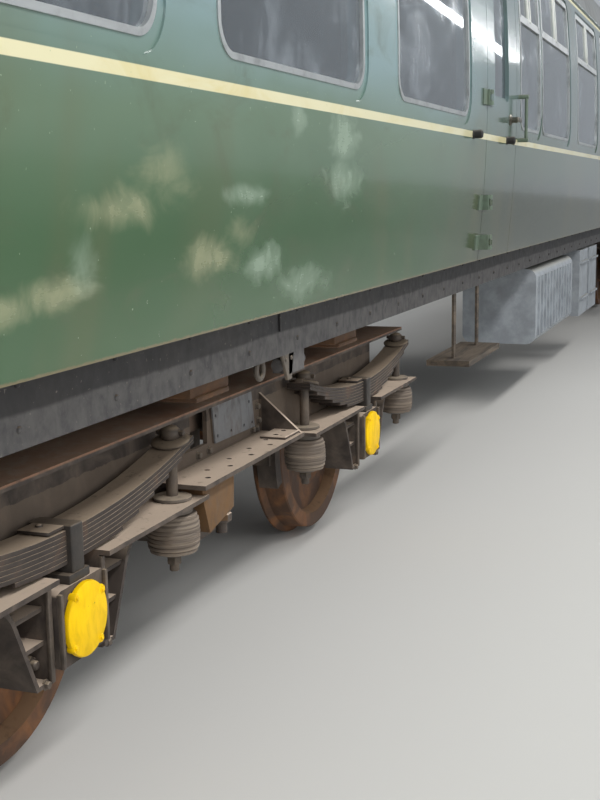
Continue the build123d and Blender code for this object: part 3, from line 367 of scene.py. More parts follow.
class Graph:
    """A material's nodes, written as short calls."""

    def __init__(self, name: str) -> None:
        """Start an empty material.

        Args:
            name: The material's name.
        """
        self.material = bpy.data.materials.new(name)
        self.material.use_nodes = True
        self.tree = self.material.node_tree
        self.tree.nodes.clear()
        self.place = self.node("ShaderNodeTexCoord").outputs["Object"]
        self.normal = self.tree.nodes[0].outputs["Normal"]

    def node(self, kind: str, inputs: dict | None = None, **settings: object) -> bpy.types.Node:
        """Add one node.

        Args:
            kind: The node's type.
            inputs: Values or sockets for its inputs.
            settings: The node's own settings.

        Returns:
            The new node.
        """
        made = self.tree.nodes.new(kind)
        for key, value in settings.items():
            setattr(made, key, value)
        for key, value in (inputs or {}).items():
            self.feed(made.inputs[key], value)
        return made

    def feed(self, socket: Socket, value: Value) -> None:
        """Link a socket to another, or set its value."""
        if isinstance(value, bpy.types.NodeSocket):
            self.tree.links.new(value, socket)
        elif isinstance(value, tuple) and len(value) == 3 and socket.type == "RGBA":
            socket.default_value = (*value, 1)
        else:
            socket.default_value = value

    def math(self, operation: str, a: Value, b: Value = 0.0) -> Socket:
        """The result of one sum on two values."""
        return self.node("ShaderNodeMath", {0: a, 1: b}, operation=operation).outputs[0]

    def times(self, a: Value, b: Value) -> Socket:
        """a times b."""
        return self.math("MULTIPLY", a, b)

    def plus(self, a: Value, b: Value) -> Socket:
        """a plus b."""
        return self.math("ADD", a, b)

    def minus(self, a: Value, b: Value) -> Socket:
        """a less b."""
        return self.math("SUBTRACT", a, b)

    def larger(self, a: Value, b: Value) -> Socket:
        """The larger of a and b."""
        return self.math("MAXIMUM", a, b)

    def axis(self, name: str) -> Socket:
        """One coordinate of the place on the piece."""
        return self.node("ShaderNodeSeparateXYZ", {0: self.place}).outputs[name]

    def upward(self) -> Socket:
        """How far the surface faces up, from -1 to 1."""
        return self.node("ShaderNodeSeparateXYZ", {0: self.normal}).outputs["Z"]

    def noise(self, scale: float, detail: float = 4.0, stretch: Point = (1, 1, 1),
              warp: float = 0.0) -> Socket:
        """Soft noise from about 0.3 to 0.7.

        Args:
            scale: How many features there are in a metre.
            detail: How many finer octaves are added.
            stretch: How much the pattern is squeezed along each axis.
            warp: How much the noise bends itself.

        Returns:
            The noise as one value.
        """
        place = self.node("ShaderNodeMapping", {"Vector": self.place, "Scale": stretch}).outputs[0]
        wanted = {"Vector": place, "Scale": scale, "Detail": detail, "Roughness": 0.6, "Distortion": warp}
        return self.node("ShaderNodeTexNoise", wanted).outputs[0]

    def step(self, value: Value, low: Value, high: Value) -> Socket:
        """A smooth step from 0 at low to 1 at high."""
        wanted = {"Value": value, "From Min": low, "From Max": high}
        made = self.node("ShaderNodeMapRange", wanted, interpolation_type="SMOOTHSTEP")
        return made.outputs["Result"]

    def mix(self, share: Value, a: Value, b: Value) -> Socket:
        """A colour between a, at share 0, and b, at share 1."""
        made = self.node("ShaderNodeMix", data_type="RGBA")
        for index, value in ((0, share), (6, a), (7, b)):
            self.feed(made.inputs[index], value)
        return made.outputs[2]

    def bump(self, height: Value, depth: float, strength: float = 1.0) -> Socket:
        """A normal tilted by a height.

        Args:
            height: The height as a value about 0 to 1.
            depth: How many metres a height of 1 stands for.
            strength: How much of the tilt is kept.

        Returns:
            The tilted normal.
        """
        wanted = {"Height": height, "Distance": depth, "Strength": strength}
        return self.node("ShaderNodeBump", wanted).outputs[0]

    def close(self, **inputs: Value) -> bpy.types.Material:
        """Finish the material with one Principled shader.

        Args:
            inputs: Its inputs, with low lines for the spaces in their names.

        Returns:
            The material.
        """
        named = {key.replace("_", " "): value for key, value in inputs.items()}
        shader = self.node("ShaderNodeBsdfPrincipled", named)
        self.node("ShaderNodeOutputMaterial", {"Surface": shader.outputs[0]})
        return self.material


@dataclass(frozen=True)
class Patch:
    """A smear of dried polish on the paint."""

    x: float
    z: float
    half_length: float
    half_height: float
    strength: float
    pale: bool = False


@dataclass(frozen=True)
class BodyPaint:
    """Glossy green coach paint, painted paler and greyer upwards and darker further along as painted
    reflection, with two cream lines and smears of polish.
    """

    # low, middle and high grade the green paler and greyer upwards as a painted reflection of the pale
    # surroundings
    low: Colour = srgb(53, 84, 51)
    middle: Colour = srgb(92, 113, 90)
    high: Colour = srgb(119, 143, 144)
    # far darkens the side further along the coach as a painted dark reflection, most towards its foot
    far: Colour = srgb(58, 62, 56)
    cream: Colour = srgb(214, 208, 170)
    edge: Colour = srgb(104, 96, 68)
    olive: Colour = srgb(96, 92, 62)
    waist_line: tuple[float, float] = (1.830, 1.860)
    top_line: tuple[float, float] = (2.936, 2.962)
    bottom_edge: float = 1.234
    patches: tuple[Patch, ...] = (
        Patch(-1.38, 1.630, 0.14, 0.070, 0.45),
        Patch(-1.60, 1.552, 0.14, 0.045, 0.8),
        Patch(-1.06, 1.418, 0.15, 0.045, 0.9),
        Patch(-0.90, 1.470, 0.10, 0.040, 0.45),
        Patch(-0.75, 1.386, 0.13, 0.05, 0.8, True),
        Patch(-0.88, 1.575, 0.16, 0.025, 0.6, True),
        Patch(-1.84, 1.386, 0.13, 0.035, 0.85),
        Patch(-2.03, 1.368, 0.10, 0.03, 0.7),
        Patch(-1.74, 1.428, 0.06, 0.06, 0.5, True),
        Patch(-0.06, 1.75, 0.13, 0.075, 0.8, True),
        Patch(-0.05, 1.62, 0.16, 0.07, 0.75, True),
        Patch(-0.36, 1.30, 0.22, 0.05, 0.6, True),
        Patch(-0.49, 1.80, 0.05, 0.04, 0.5, True),
    )

    def build(self, near_bogie_x: float) -> bpy.types.Material:
        """Make the material.

        Args:
            near_bogie_x: X of the bogie that the smears are placed from.

        Returns:
            The material.
        """
        g = Graph("green_coach_paint")
        z = g.axis("Z")
        cloud = g.noise(1.3, 3, (0.6, 1, 1), 0.5)
        mottle = g.noise(6.0, 5, (0.5, 1, 1), 0.8)
        wander = g.times(g.minus(cloud, 0.5), 0.9)
        # painted reflection: the green turns paler and greyer towards the waist and above it
        colour = g.mix(g.plus(g.step(z, 1.38, 1.85), wander), self.low, self.middle)
        colour = g.mix(g.step(g.plus(z, g.times(wander, 0.3)), 1.78, 2.06), colour, self.high)
        # painted dark reflection: the side darkens beyond the near bogie, more towards its foot
        beyond = g.step(g.axis("X"), near_bogie_x + 0.5, near_bogie_x + 3.2)
        foot = g.plus(g.times(g.step(z, 1.75, 1.50), 0.35), 0.5)
        colour = g.mix(g.times(beyond, foot), colour, self.far)
        dull = g.mix(0.5, colour, srgb(80, 86, 64))
        colour = g.mix(g.step(mottle, 0.50, 0.80), colour, dull)
        brown = g.step(g.noise(0.75, 3, (1.3, 1, 0.6), 0.5), 0.50, 0.72)
        colour = g.mix(g.times(brown, 0.5), colour, self.olive)
        smear, pale = self.smears(g, near_bogie_x)
        colour = g.mix(smear, colour, srgb(158, 158, 124))
        colour = g.mix(pale, colour, srgb(154, 172, 152))
        lined = g.plus(self.band(g, z, self.waist_line), self.band(g, z, self.top_line))
        colour = g.mix(lined, colour, g.mix(g.step(mottle, 0.4, 0.75), self.cream, srgb(206, 194, 142)))
        ragged = g.plus(z, g.times(g.noise(22, 3), 0.012))
        bare = g.step(ragged, self.bottom_edge + 0.005, self.bottom_edge - 0.001)
        colour = g.mix(bare, colour, self.edge)
        specks = g.step(g.noise(55, 2), 0.73, 0.76)
        colour = g.mix(g.times(specks, 0.6), colour, srgb(150, 168, 140))
        hazy = g.larger(smear, pale)
        fine = g.noise(40, 3, (0.4, 1, 3.0))
        rough = g.plus(g.times(hazy, 0.3), g.times(fine, 0.16))
        waves = g.bump(g.noise(2.2, 2, (0.6, 1, 1.6)), 0.004, 0.5)
        return g.close(Base_Color=colour, Roughness=g.plus(rough, 0.06), Normal=waves,
                       Specular_IOR_Level=0.42, Coat_Weight=0.25, Coat_Roughness=0.05)

    def smears(self, g: Graph, near_bogie_x: float) -> tuple[Socket, Socket]:
        """Where the tan and the pale smears of polish lie on the -Y side.

        Args:
            g: The material's nodes.
            near_bogie_x: X of the bogie that the smears are placed from.

        Returns:
            The tan and the pale smears, from 0 to 1.
        """
        bend = g.noise(4.5, 4, (1, 1, 1.6), 0.9)
        streak = g.noise(9, 5, (1.0, 1, 0.7), 1.5)
        near = g.step(g.axis("Y"), 0.1, -0.1)
        sums = {False: 0.0, True: 0.0}
        for patch in self.patches:
            along = g.math("DIVIDE", g.minus(g.axis("X"), near_bogie_x + patch.x), patch.half_length)
            up = g.math("DIVIDE", g.minus(g.axis("Z"), patch.z), patch.half_height)
            far = g.math("SQRT", g.plus(g.times(along, along), g.times(up, up)))
            far = g.plus(far, g.times(g.minus(bend, 0.5), 2.6))
            spot = g.times(g.step(far, 1.5, 0.1), patch.strength)
            sums[patch.pale] = g.larger(sums[patch.pale], spot)
        shade = g.plus(g.times(g.step(streak, 0.25, 0.7), 0.4), 0.5)
        return tuple(g.times(g.times(sums[pale], near), shade) for pale in (False, True))

    def band(self, g: Graph, z: Socket, heights: tuple[float, float]) -> Socket:
        """A line along the coach between two heights, from 0 to 1."""
        soft = 0.0012
        low = g.step(z, heights[0] - soft, heights[0] + soft)
        return g.times(low, g.step(z, heights[1] + soft, heights[1] - soft))


@dataclass(frozen=True)
class RoofPaint:
    """Weathered grey roof paint with soot along the crown and a cream line at the foot."""

    grey: Colour = srgb(112, 115, 115)
    soot: Colour = srgb(68, 68, 66)

    def build(self, body: BodyPaint) -> bpy.types.Material:
        """Make the material.

        Args:
            body: The paint of the side, for the cream line.

        Returns:
            The material.
        """
        g = Graph("grey_roof_paint")
        z = g.axis("Z")
        cloud = g.noise(1.6, 5, (0.5, 1, 1), 0.6)
        colour = g.mix(g.step(cloud, 0.35, 0.75), self.grey, self.soot)
        streaks = g.step(g.noise(7, 3, (3.0, 0.4, 0.4)), 0.52, 0.75)
        colour = g.mix(g.times(streaks, 0.35), colour, srgb(142, 140, 132))
        # the foot of the roof takes the side's colour above the waist, which holds painted reflection
        green = g.step(z, 2.979, 2.975)
        colour = g.mix(green, colour, body.high)
        colour = g.mix(body.band(g, z, body.top_line), colour, body.cream)
        rough = g.plus(g.times(g.noise(9, 4), 0.3), 0.38)
        return g.close(Base_Color=colour, Roughness=rough, Normal=g.bump(g.noise(30, 3), 0.001, 0.4))


@dataclass(frozen=True)
class WornMetal:
    """Painted or bare metal under road dirt: dust on what faces up, rust in blotches, worn edges."""

    name: str
    base: Colour
    dust: Colour = srgb(150, 132, 112)
    rust: Colour = srgb(116, 74, 46)
    dust_share: float = 0.75
    side_dust: float = 0.35
    rust_share: float = 0.2
    rough: float = 0.62
    metal: float = 0.0
    grain: float = 26.0
    relief: float = 0.0012

    def build(self) -> bpy.types.Material:
        """Make the material."""
        g = Graph(self.name)
        blotch = g.noise(self.grain * 0.22, 6, (1, 1, 1), 0.8)
        fine = g.noise(self.grain, 5)
        runs = g.noise(self.grain * 0.6, 4, (1, 1, 0.7), 0.4)
        colour = g.mix(g.step(fine, 0.35, 0.7), self.base, tuple(c * 1.4 for c in self.base))
        rusty = g.times(g.step(blotch, 0.62 - 0.25 * self.rust_share, 0.74), self.rust_share * 1.6)
        colour = g.mix(rusty, colour, g.mix(fine, self.rust, tuple(c * 0.55 for c in self.rust)))
        coat = g.step(g.plus(blotch, g.times(runs, 0.3)), 0.45, 0.95)
        coat = g.times(coat, self.side_dust)
        flat = g.times(g.step(g.upward(), 0.35, 0.85), self.dust_share)
        thin = g.times(flat, g.plus(g.step(fine, 0.2, 0.5), 0.4))
        dust = g.mix(blotch, self.dust, tuple(c * 0.8 for c in self.dust))
        colour = g.mix(g.larger(coat, thin), colour, dust)
        colour = self.marked(g, colour)
        rough = g.plus(g.times(fine, 0.3), self.rough - 0.15)
        return g.close(Base_Color=colour, Roughness=rough, Metallic=self.metal, Specular_IOR_Level=0.4,
                       Normal=g.bump(g.plus(fine, blotch), self.relief, 0.6))

    def marked(self, g: Graph, colour: Socket) -> Socket:
        """Patches of another colour on the piece; plain worn metal has none.

        Args:
            g: The material's nodes.
            colour: The colour so far.

        Returns:
            The colour with its patches.
        """
        return colour


@dataclass(frozen=True)
class BogieDirt(WornMetal):
    """Brown road dirt on a bogie frame, with a bare grey cover plate, an ochre link block and painted
    light on the lower web.
    """

    bogie_reach: float = 7.087
    plate_colour: Colour = srgb(128, 130, 132)
    block_colour: Colour = srgb(112, 80, 44)
    # the paler web colour is painted light on the lower web, below the body's shadow line
    lit_web_colour: Colour = srgb(112, 98, 84)
    flange_colour: Colour = srgb(168, 122, 92)
    # each place: along from the bogie's middle, out from the middle line, and up
    plate_span: tuple[float, ...] = (-0.16, 0.26, 0.931, 0.945, 0.700, 0.900)
    link_span: tuple[float, ...] = (-0.54, -0.279, 0.95, 1.08, 0.48, 0.657)
    web_out: tuple[float, float] = (0.90, 0.935)
    lit_web_up: tuple[float, float] = (0.60, 0.80)
    flange_foot: float = 0.915

    def marked(self, g: Graph, colour: Socket) -> Socket:
        """Grey the cover plates, paint light on the lower webs below the body's shadow line, and rust the
        link blocks, on both bogies.
        """
        x, z = g.axis("X"), g.axis("Z")
        along = g.minus(x, g.times(g.math("SIGN", x), self.bogie_reach))
        out = g.math("ABSOLUTE", g.axis("Y"))
        scuffs = g.step(g.noise(18, 6, (1, 1, 0.5), 0.8), 0.25, 0.6)

        def inside(span: tuple[float, ...]) -> Value:
            """1 within one place on the bogie, and 0 outside it."""
            return self.within(g, (along, *span[0:2]), (out, *span[2:4]), (z, *span[4:6]))

        plate = inside(self.plate_span)
        colour = g.mix(g.times(plate, g.plus(g.times(scuffs, 0.6), 0.25)), colour, self.plate_colour)
        # painted light: the lower web, below a ragged shadow line of the body and away from the cover
        # plate, is painted paler
        ragged = g.plus(z, g.times(g.minus(scuffs, 0.5), 0.007))
        foot = self.within(g, (out, *self.web_out), (ragged, *self.lit_web_up))
        colour = g.mix(g.times(foot, g.minus(0.6, g.times(plate, 0.6))), colour, self.lit_web_colour)
        flange = g.step(z, self.flange_foot, self.flange_foot + 0.005)
        colour = g.mix(g.times(flange, g.plus(g.times(scuffs, 0.4), 0.2)), colour, self.flange_colour)
        link = inside(self.link_span)
        return g.mix(g.times(link, g.plus(g.times(scuffs, 0.5), 0.35)), colour, self.block_colour)

    def within(self, g: Graph, *spans: tuple[Socket, float, float]) -> Value:
        """1 inside every one of the spans, and 0 outside.

        Args:
            g: The material's nodes.
            spans: A distance with its low and its high end, for each direction.

        Returns:
            The share.
        """
        edge = 0.001
        share = 1.0
        for value, low, high in spans:
            above, below = g.step(value, low - edge, low + edge), g.step(value, high + edge, high - edge)
            share = g.times(share, g.times(above, below))
        return share


@dataclass(frozen=True)
class Solebar:
    """The black solebar: dark above, and greyer below the body's shadow line as painted light, with runs
    and dust towards its foot.
    """

    base: Colour = srgb(36, 34, 35)
    # the first grey is painted light on the solebar below the body's shadow line
    dust_and_light: Colour = srgb(96, 93, 91)
    dust: Colour = srgb(128, 112, 94)
    shadow_line_z: float = 1.122

    def build(self) -> bpy.types.Material:
        """Make the material."""
        g = Graph("black_underframe")
        z = g.axis("Z")
        runs = g.noise(26, 6, (1, 1, 0.75), 0.3)
        blotch = g.noise(4, 6, (0.5, 1, 1), 0.8)
        # painted light: below the ragged shadow line of the body the black is painted greyer, with runs
        ragged = g.plus(z, g.times(g.minus(blotch, 0.5), 0.03))
        low = g.step(ragged, self.shadow_line_z + 0.006, self.shadow_line_z - 0.006)
        colour = g.mix(g.step(blotch, 0.4, 0.8), self.base, srgb(54, 50, 48))
        grey = g.mix(g.step(runs, 0.35, 0.8), self.dust_and_light, srgb(66, 64, 66))
        colour = g.mix(g.times(low, 0.9), colour, grey)
        speckle = g.step(g.noise(75, 2), 0.66, 0.74)
        colour = g.mix(g.times(speckle, 0.5), colour, srgb(140, 132, 120))
        flat = g.times(g.step(g.upward(), 0.4, 0.9), 0.8)
        colour = g.mix(flat, colour, self.dust)
        rough = g.plus(g.times(runs, 0.35), 0.38)
        return g.close(Base_Color=colour, Roughness=rough, Specular_IOR_Level=0.45,
                       Normal=g.bump(g.plus(runs, blotch), 0.0012, 0.5))


@dataclass(frozen=True)
class LayeredRubber:
    """Old rubber springs: grey with pale dust in the grooves."""

    base: Colour = srgb(100, 89, 79)
    dust: Colour = srgb(146, 132, 116)

    def build(self) -> bpy.types.Material:
        """Make the material."""
        g = Graph("rubber_springs")
        ring = g.noise(60, 3, (0.05, 0.05, 1.6))
        blotch = g.noise(11, 5)
        colour = g.mix(g.step(ring, 0.4, 0.75), self.base, self.dust)
        colour = g.mix(g.times(g.step(blotch, 0.45, 0.75), 0.6), colour, srgb(112, 96, 80))
        return g.close(Base_Color=colour, Roughness=g.plus(g.times(ring, 0.2), 0.6),
                       Normal=g.bump(g.noise(90, 3), 0.0008, 0.5))


@dataclass(frozen=True)
class CoverYellow:
    """Bright yellow brushed-on paint with a few knocks."""

    yellow: Colour = srgb(250, 203, 0)
    chipped: Colour = srgb(120, 104, 40)

    def build(self) -> bpy.types.Material:
        """Make the material."""
        g = Graph("yellow_covers")
        brush = g.noise(34, 4, (1, 1, 0.4), 0.5)
        chips = g.step(g.noise(30, 3), 0.70, 0.73)
        colour = g.mix(g.step(brush, 0.35, 0.75), self.yellow, srgb(226, 180, 0))
        colour = g.mix(g.times(chips, 0.8), colour, self.chipped)
        return g.close(Base_Color=colour, Roughness=g.plus(g.times(brush, 0.2), 0.4),
                       Specular_IOR_Level=0.2, Normal=g.bump(brush, 0.0015, 0.6))


@dataclass(frozen=True)
class BrightMetal:
    """Dull aluminium or steel with a fine grain along its length."""

    name: str = "bright_window_metal"
    base: Colour = srgb(196, 199, 198)
    rough: float = 0.36
    metal: float = 0.85

    def build(self) -> bpy.types.Material:
        """Make the material."""
        g = Graph(self.name)
        grain = g.noise(90, 3, (0.1, 1, 1))
        stain = g.noise(11, 5)
        colour = g.mix(g.step(stain, 0.45, 0.75), self.base, tuple(c * 0.62 for c in self.base))
        rough = g.plus(g.times(grain, 0.2), self.rough - 0.08)
        return g.close(Base_Color=colour, Roughness=rough, Metallic=self.metal,
                       Normal=g.bump(grain, 0.0003, 0.4))


@dataclass(frozen=True)
class Glazing:
    """Window glass, faintly green and dusty, that lets lamps light what is behind it."""

    tint: Colour = srgb(172, 184, 190)
    film: Colour = srgb(150, 156, 162)

    def build(self) -> bpy.types.Material:
        """Make the material."""
        g = Graph("window_glass")
        haze = g.noise(3.5, 5, (0.7, 1, 1.3), 0.6)
        dirt = g.step(g.plus(haze, g.times(g.noise(26, 3, (1, 1, 0.3)), 0.3)), 0.62, 0.95)
        rough = g.plus(g.times(dirt, 0.12), 0.015)
        glass = g.node("ShaderNodeBsdfPrincipled", {"Base Color": self.tint, "Roughness": rough,
                                                    "Transmission Weight": 1.0, "IOR": 1.45})
        film = g.node("ShaderNodeBsdfPrincipled", {"Base Color": self.film, "Roughness": 0.45})
        share = g.plus(g.times(dirt, 0.28), 0.12)
        dust_and_light = g.node("ShaderNodeMixShader", {0: share, 1: glass.outputs[0], 2: film.outputs[0]})
        clear = g.node("ShaderNodeBsdfTransparent", {"Color": self.tint})
        shadow = g.node("ShaderNodeLightPath").outputs["Is Shadow Ray"]
        mixed = g.node("ShaderNodeMixShader", {0: shadow, 1: dust_and_light.outputs[0], 2: clear.outputs[0]})
        g.node("ShaderNodeOutputMaterial", {"Surface": mixed.outputs[0]})
        return g.material


@dataclass(frozen=True)
class SeatCloth:
    """Woven seat moquette in two plain tones."""

    name: str = "seat_cloth"
    base: Colour = srgb(72, 60, 58)
    fleck: Colour = srgb(118, 84, 66)
    threads: float = 420.0

    def build(self) -> bpy.types.Material:
        """Make the material."""
        g = Graph(self.name)
        warp = g.math("SINE", g.times(g.plus(g.axis("X"), g.axis("Z")), self.threads * 2))
        weft = g.math("SINE", g.times(g.axis("Y"), self.threads * 2))
        weave = g.times(warp, weft)
        worn = g.noise(5, 4)
        colour = g.mix(g.step(g.noise(130, 2), 0.45, 0.6), self.base, self.fleck)
        colour = g.mix(g.times(g.step(worn, 0.5, 0.8), 0.4), colour, srgb(120, 108, 96))
        return g.close(Base_Color=colour, Roughness=0.9, Normal=g.bump(weave, 0.0006, 0.5),
                       Sheen_Weight=0.3)


@dataclass(frozen=True)
class Joinery:
    """Varnished wood with its grain running one way."""

    name: str
    light: Colour
    dark: Colour
    along: Axis = Axis.Z
    rough: float = 0.4

    def build(self) -> bpy.types.Material:
        """Make the material."""
        g = Graph(self.name)
        stretch = {Axis.X: (0.06, 1, 1), Axis.Y: (1, 0.06, 1), Axis.Z: (1, 1, 0.06)}[self.along]
        grain = g.noise(70, 5, stretch, 1.2)
        figure = g.noise(12, 3, stretch, 2.5)
        colour = g.mix(g.step(figure, 0.35, 0.7), self.light, self.dark)
        colour = g.mix(g.times(g.step(grain, 0.5, 0.7), 0.5), colour, tuple(c * 0.5 for c in self.dark))
        return g.close(Base_Color=colour, Roughness=g.plus(g.times(grain, 0.2), self.rough),
                       Normal=g.bump(grain, 0.0004, 0.5))


@dataclass(frozen=True)
class Lino:
    """Marbled floor covering, with the bare boards underneath."""

    base: Colour = srgb(104, 98, 88)
    vein: Colour = srgb(72, 66, 60)
    under: Colour = srgb(66, 62, 58)

    def build(self) -> bpy.types.Material:
        """Make the material."""
        g = Graph("floor_lino")
        vein = g.noise(9, 6, (1, 0.4, 1), 3.0)
        colour = g.mix(g.step(vein, 0.4, 0.65), self.base, self.vein)
        colour = g.mix(g.step(g.upward(), -0.2, -0.6), colour, self.under)
        return g.close(Base_Color=colour, Roughness=g.plus(g.times(vein, 0.3), 0.35))


@dataclass(frozen=True)
class FoldedLeathercloth:
    """Black proofed cloth of the gangway bellows, chalky on its folds."""

    base: Colour = srgb(32, 32, 33)
    chalk: Colour = srgb(86, 84, 80)

    def build(self) -> bpy.types.Material:
        """Make the material."""
        g = Graph("bellows_cloth")
        weave = g.noise(220, 2)
        wear = g.noise(8, 5, (2.0, 1, 1))
        colour = g.mix(g.step(wear, 0.48, 0.8), self.base, self.chalk)
        return g.close(Base_Color=colour, Roughness=g.plus(g.times(wear, 0.3), 0.5),
                       Normal=g.bump(g.plus(weave, wear), 0.0015, 0.5))


class Paints:
    """Every finish of the coach, made once."""

    def __init__(self, near_bogie_x: float) -> None:
        """Make the materials.

        Args:
            near_bogie_x: X of the bogie nearest to the camera.
        """
        body = BodyPaint()
        self.body = body.build(near_bogie_x)
        self.roof = RoofPaint().build(body)
        self.end = WornMetal("black_end_paint", srgb(30, 31, 33), rust_share=0.08, side_dust=0.2,
                             rough=0.5).build()
        self.solebar = Solebar().build()
        self.bogie = BogieDirt("bogie_frame_dirt", srgb(50, 43, 39), srgb(196, 176, 156), rust_share=0.22,
                               dust_share=0.9, side_dust=0.22, rough=0.72).build()
        self.spring = WornMetal("leaf_spring_steel", srgb(48, 41, 37), srgb(160, 142, 122),
                                rust_share=0.3, dust_share=0.85, side_dust=0.08, rough=0.6,
                                grain=40).build()
        self.worn_steel = WornMetal("worn_dark_steel", srgb(70, 62, 56), srgb(150, 134, 114),
                                    rust_share=0.22, side_dust=0.4, rough=0.58, metal=0.15,
                                    grain=40).build()
        self.tyre = WornMetal("wheel_rust", srgb(70, 50, 38), srgb(136, 106, 78), srgb(138, 86, 46),
                              rust_share=0.7, side_dust=0.3, rough=0.7).build()
        self.rubber = LayeredRubber().build()
        self.black_rubber = WornMetal("stop_rubber", srgb(26, 26, 27), srgb(90, 86, 80), rust_share=0.0,
                                      side_dust=0.15, rough=0.7).build()
        self.cover = CoverYellow().build()
        self.rusty_plate = WornMetal("rusty_plates", srgb(78, 56, 40), srgb(126, 98, 70),
                                     srgb(140, 88, 48), rust_share=0.5, side_dust=0.25,
                                     rough=0.8).build()
        self.strap = WornMetal("black_spring_straps", srgb(46, 43, 41), srgb(128, 114, 98),
                               rust_share=0.08, dust_share=0.5, side_dust=0.15, rough=0.5,
                               metal=0.2, grain=40).build()
        self.plate = WornMetal("dusty_grey_plate", srgb(82, 76, 70), srgb(150, 136, 118), rust_share=0.18,
                               side_dust=0.5, rough=0.6).build()
        self.gear = WornMetal("grey_gear_paint", srgb(138, 143, 148), srgb(158, 158, 152),
                              rust_share=0.05, side_dust=0.12, rough=0.5, grain=9).build()
        self.hinge = WornMetal("green_hinge_paint", srgb(86, 100, 86), srgb(120, 124, 108),
                               rust_share=0.02, side_dust=0.3, rough=0.4).build()
        self.buffer = WornMetal("buffer_steel", srgb(50, 49, 49), srgb(112, 104, 94), rust_share=0.15,
                                side_dust=0.2, rough=0.42, metal=0.5).build()
        self.bright = BrightMetal().build()
        self.vent_white = BrightMetal("pale_vent_frames", srgb(214, 216, 208), 0.5, 0.0).build()
        self.fitting = BrightMetal("door_fitting_metal", srgb(120, 116, 106), 0.34, 0.9).build()
        self.glass = Glazing().build()
        self.cloth = SeatCloth().build()
        self.seat_metal = BrightMetal("seat_frame_metal", srgb(96, 92, 84), 0.45, 0.5).build()
        self.rack = BrightMetal("rack_metal", srgb(170, 168, 160), 0.35, 0.8).build()
        self.screen = Joinery("screen_veneer", srgb(132, 84, 52), srgb(88, 50, 30)).build()
        self.board = Joinery("footboard_wood", srgb(96, 84, 70), srgb(62, 54, 46), Axis.X, 0.65).build()
        self.lino = Lino().build()
        self.bellows = FoldedLeathercloth().build()


def dress(piece: Piece, material: bpy.types.Material) -> None:
    """Give a piece one finish all over.

    Args:
        piece: The piece or the node to finish.
        material: Its finish.
    """
    if not piece.material_slots:
        piece.data.materials.append(material)
    for slot in piece.material_slots:
        slot.material = material


# The frame


@dataclass(frozen=True)
class Bogie:
    """Where one bogie stands, read from the frame."""

    place: str
    body: str
    x: float
    axles: tuple[float, float]
    axle_z: float

    @classmethod
    def read(cls, place: str) -> Bogie:
        """Read a bogie's place from its wheelsets.

        Args:
            place: "front" or "rear".

        Returns:
            The bogie.
        """
        middles = []
        for which in ("outer", "inner"):
            low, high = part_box(f"wheelset_{place}_{which}")
            middles.append((low + high) / 2)
        axles = tuple(sorted(middle.x for middle in middles))
        return cls(place, f"bogie_{place}", sum(axles) / 2, axles, middles[0].z)


class Crew:
    """Hands finished pieces to the frame and logs them."""

    def __init__(self, frame: dict) -> None:
        """Keep the loaded frame.

        Args:
            frame: What the frame's load call gave.
        """
        self.nodes: dict[str, Piece] = frame["nodes"]

    def paint_nodes(self, material: bpy.types.Material, *starts: str) -> None:
        """Finish every node whose name starts with one of these words.

        Args:
            material: The finish.
            starts: The starts of the names.
        """
        for name, node in self.nodes.items():
            if name.startswith(starts):
                dress(node, material)

    def fit(self, piece: Piece, name: str, body: str, material: bpy.types.Material, slot: str,
            replaced: Sequence[str] = ()) -> Piece:
        """Name a finished piece, dress it and let it ride on its body.

        Args:
            piece: The finished piece.
            name: Its name.
            body: The body that it moves with.
            material: Its finish.
            slot: The record's slot that its finish belongs to; not used.
            replaced: Nodes that the piece stands for.

        Returns:
            The same piece.
        """
        piece.name = name
        piece.data.name = name
        dress(piece, material)
        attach(piece, body)
        if replaced:
            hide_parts(*replaced)
        log.info("fitted %s on %s with %d faces", name, body, len(piece.data.polygons))
        return piece


# Bogies


def spread(unit: Piece, reaches: Sequence[float]) -> Piece:
    """Copies of a near-side unit along a bogie, and the same turned to its far side.

    Args:
        unit: The unit, built about the middle of the bogie.
        reaches: How far along the bogie each copy goes.

    Returns:
        One piece for the whole bogie, about its own middle.
    """
    near = joined([copied(unit, (reach, 0, 0)) for reach in reaches])
    bpy.data.objects.remove(unit)
    return joined([near, copied(near, half_turn=True)])


